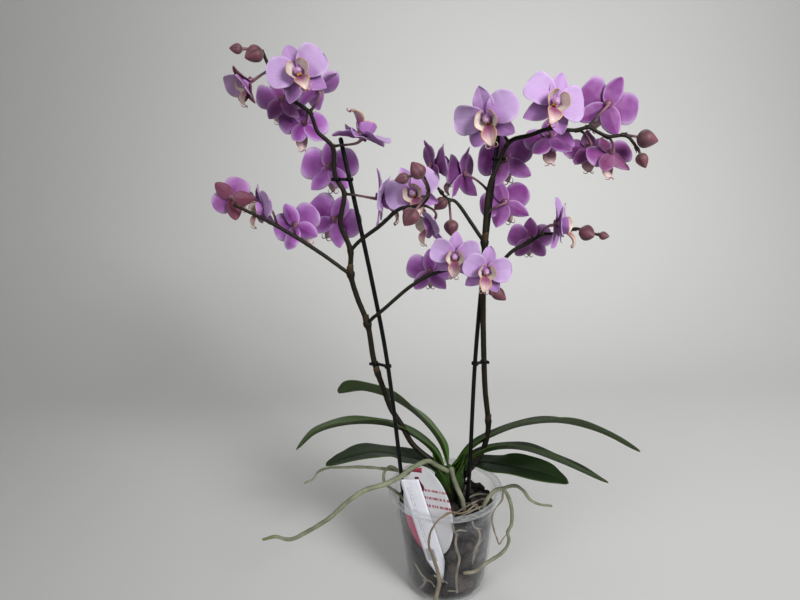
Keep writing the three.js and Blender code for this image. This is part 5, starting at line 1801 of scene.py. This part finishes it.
# %% Lay the roots along the wall
WALL_ROOTS = dict(
    root_wall_1=[[7, 88], [6, 80], [7, 70], [10, 58], [8, 44], [7, 30], [8, 14]],
    root_wall_2=[[27, 90], [31, 82], [31, 72], [26, 62], [24, 50]],
    root_wall_3=[[-34, 40], [-28, 31], [-24, 27], [-26, 18], [-30, 10]],
)
WALL_EXTRAS = dict(
    root_wall_1=[[[3, 101], [4, 95], [6.5, 87]],
                 [[5, 91], [10, 93], [17, 90]],
                 [[-1, 17], [8, 16]],
                 [[-15, 35], [-9, 32], [-2, 27]]],
    root_wall_2=[[[23, 99], [25, 92], [33, 85]], [[33, 70], [28, 59], [24, 45]]],
    root_wall_3=[[[-27, 24], [-19, 26], [-15, 20]], [[38, 12], [33, 8], [25, 6]]],
)
WALL_ROOT = dict(radii=[1.2, 1.4, 1.3, 1.1], tints=[0.26], count=70)
SIDE_ROOT = dict(radii=[0.9, 1.0, 0.6], tints=[0.3], count=70)


def wall_route(places, gap=1.55):
    """A route against the inside of the wall, from its places across and up."""
    route = []
    for x, z in places:
        radius = pot_radius(z) - POT["wall"] - gap
        route.append([x, -math.sqrt(radius**2 - x**2), z])
    return route


for node, places in WALL_ROOTS.items():
    paths = [root_path(wall_route(places), **WALL_ROOT)]
    paths += [root_path(wall_route(extra), **SIDE_ROOT) for extra in WALL_EXTRAS[node]]
    made = strands(node + "_strand", paths, ROOT_FINISH, Sides=12, Lump=0.0006, **{"Lump Scale": 150.0})
    finish_piece(made, "root", node)
print("roots along the wall:", len(WALL_ROOTS), "with", sum(map(len, WALL_EXTRAS.values())), "side roots")

# %% [markdown]
# ## Plant tags
#
# Two printed tags stick in the pot: an oval card and a strip label with a crease where it was bent.
# Printed plastic card is thin, satin and slightly curved. Both get generic print only, drawn by the
# material in the card's own UV coordinates: coloured blocks, a wavy band, rows of short dashes, and bars.

# %% Cut the two cards
def card(name, grid, place, finish, node):
    """A thin card from a grid of points, whose first and last rows may be points."""
    pile = Pile()
    raised = grid + [0, 0, TAG["thickness"] / 2]
    shell(pile, raised, np.full(grid.shape[:2], TAG["thickness"] * 0.9))
    pile.moved(tag_matrix(**place))
    return finish_piece(pile.make(name, [finish]), "card", node)


def oval_grid():
    v, s = np.linspace(0, 1, 48)[:, None], np.linspace(-1, 1, 24)[None]
    turn = v * math.pi
    half = OVAL["width"] / 2 * np.maximum(np.sin(turn), 0.05)
    return np.stack([half * s, -np.cos(turn) * OVAL["height"] / 2 + 0 * s, -0.35 * (1 - s**2) + 0 * v], -1)


def strip_grid():
    v, s = np.linspace(0, 1, 60)[:, None], np.linspace(-1, 1, 9)[None]
    down = STRIP["length"] * v
    past = np.clip((down - STRIP["shoulder"]) / (STRIP["length"] - STRIP["shoulder"]), 0, 1)
    half = np.maximum(STRIP["width"] / 2 * (1 - past), 0.3)
    crease = 0.5 * np.exp(-((s - 0.3) ** 2) / 0.02) * np.clip(1.2 - v, 0, 1)
    return np.stack([half * s, -down + 0 * s, crease - 0.3], -1)


print("cards:", OVAL["width"], "by", OVAL["height"], "mm and", STRIP["width"], "by", STRIP["length"], "mm")


# %% Print on the cards and stick them in the pot
def band(tree, value, low, high, soft=0.01):
    """A mask that is 1 between two values, with soft edges."""
    return times(tree, ramp(tree, value, low, low + soft), ramp(tree, value, high - soft, high, 1, 0))


def dashes(tree, across, up, rows, columns, low, high):
    """Rows of short dashes between two heights, broken up by a noise."""
    line = ramp(tree, zigzag(tree, up, rows), 0.32, 0.35)
    row = maths(tree, "FLOOR", times(tree, up, rows))
    spot = add(tree, "ShaderNodeCombineXYZ", {0: times(tree, across, columns), 1: row}).outputs[0]
    broken = ramp(tree, noise(tree, {"Vector": spot, "Scale": 1.0}), 0.46, 0.5)
    return times(tree, line, broken, band(tree, up, low, high))


def card_finish(name, paper):
    """A card's material, with the cloudy tone of its bare paper and its two UV coordinates."""
    made, tree, shader = material(name)
    parts = split(tree, uv_of(tree))
    cloud = mottled(tree, 60.0, 900.0)
    feed(tree, shader, {"Roughness": grainy(tree, cloud, 0.34, 0.46)})
    shaded = tuple(0.93 * part for part in paper[:3]) + (1,)
    return made, tree, shader, mixed(tree, cloud["Patches"], paper, shaded), parts["X"], parts["Y"]


def oval_finish():
    made, tree, shader, tone, x, y = card_finish("oval_card_print", srgb(206, 206, 210))
    swing = times(tree, maths(tree, "SINE", times(tree, y, 34.0)), 0.07)
    from_wave = distance_from(tree, maths(tree, "ADD", x, swing), 0.36)
    wave = times(tree, ramp(tree, from_wave, 0.06, 0.07, 1, 0), band(tree, y, 0.55, 0.8))
    waved = mixed(tree, wave, tone, srgb(92, 12, 38))
    block = times(tree, ramp(tree, y, 0.85, 0.86), ramp(tree, x, 0.47, 0.48, 1, 0))
    crimson = mixed(tree, ramp(tree, y, 0.88, 0.9), srgb(104, 14, 42), srgb(168, 26, 66))
    blocked = mixed(tree, block, waved, crimson)
    wedge = times(tree, band(tree, y, 0.1, 0.47), ramp(tree, x, 0.27, 0.28, 1, 0))
    wedged = mixed(tree, wedge, blocked, srgb(176, 52, 96))
    small = times(tree, dashes(tree, x, y, 17.0, 26.0, 0.52, 0.7), ramp(tree, x, 0.46, 0.47), 0.9)
    feed(tree, shader, {"Base Color": mixed(tree, small, wedged, srgb(150, 28, 66))})
    return made


def strip_finish():
    made, tree, shader, tone, x, y = card_finish("strip_label_print", srgb(234, 235, 244))
    bars = ramp(tree, zigzag(tree, y, 90.0), 0.2, 0.24)
    block = times(tree, bars, band(tree, y, 0.66, 0.781, 0.001), band(tree, x, 0.12, 0.61))
    barred = mixed(tree, block, tone, srgb(52, 54, 60))
    small = times(tree, dashes(tree, y, x, 9.0, 60.0, 0.2, 0.44), band(tree, y, 0.06, 0.62, 0.02), 0.6)
    feed(tree, shader, {"Base Color": mixed(tree, small, barred, srgb(70, 72, 78))})
    return made


oval = card("oval_card", oval_grid(), OVAL["place"], oval_finish(), "tag_oval")
strip = card("strip_label", strip_grid(), STRIP["place"], strip_finish(), "tag_strip")
print("tags:", oval.name, "and", strip.name)

# %% [markdown]
# ## The two boxes
#
# The box of the solid model and the box of the finished plant are printed next to each other, because the
# finish must not change the object's size.

# %% Print the two boxes
low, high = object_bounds()
sizes = dict(cad=[list(map(float, cad_low)), list(map(float, cad_high))],
             visual=[list(map(float, low)), list(map(float, high))])
for name, box in sizes.items():
    print(name, "box in mm:", [[round(place / MM, 1) for place in corner] for corner in box])
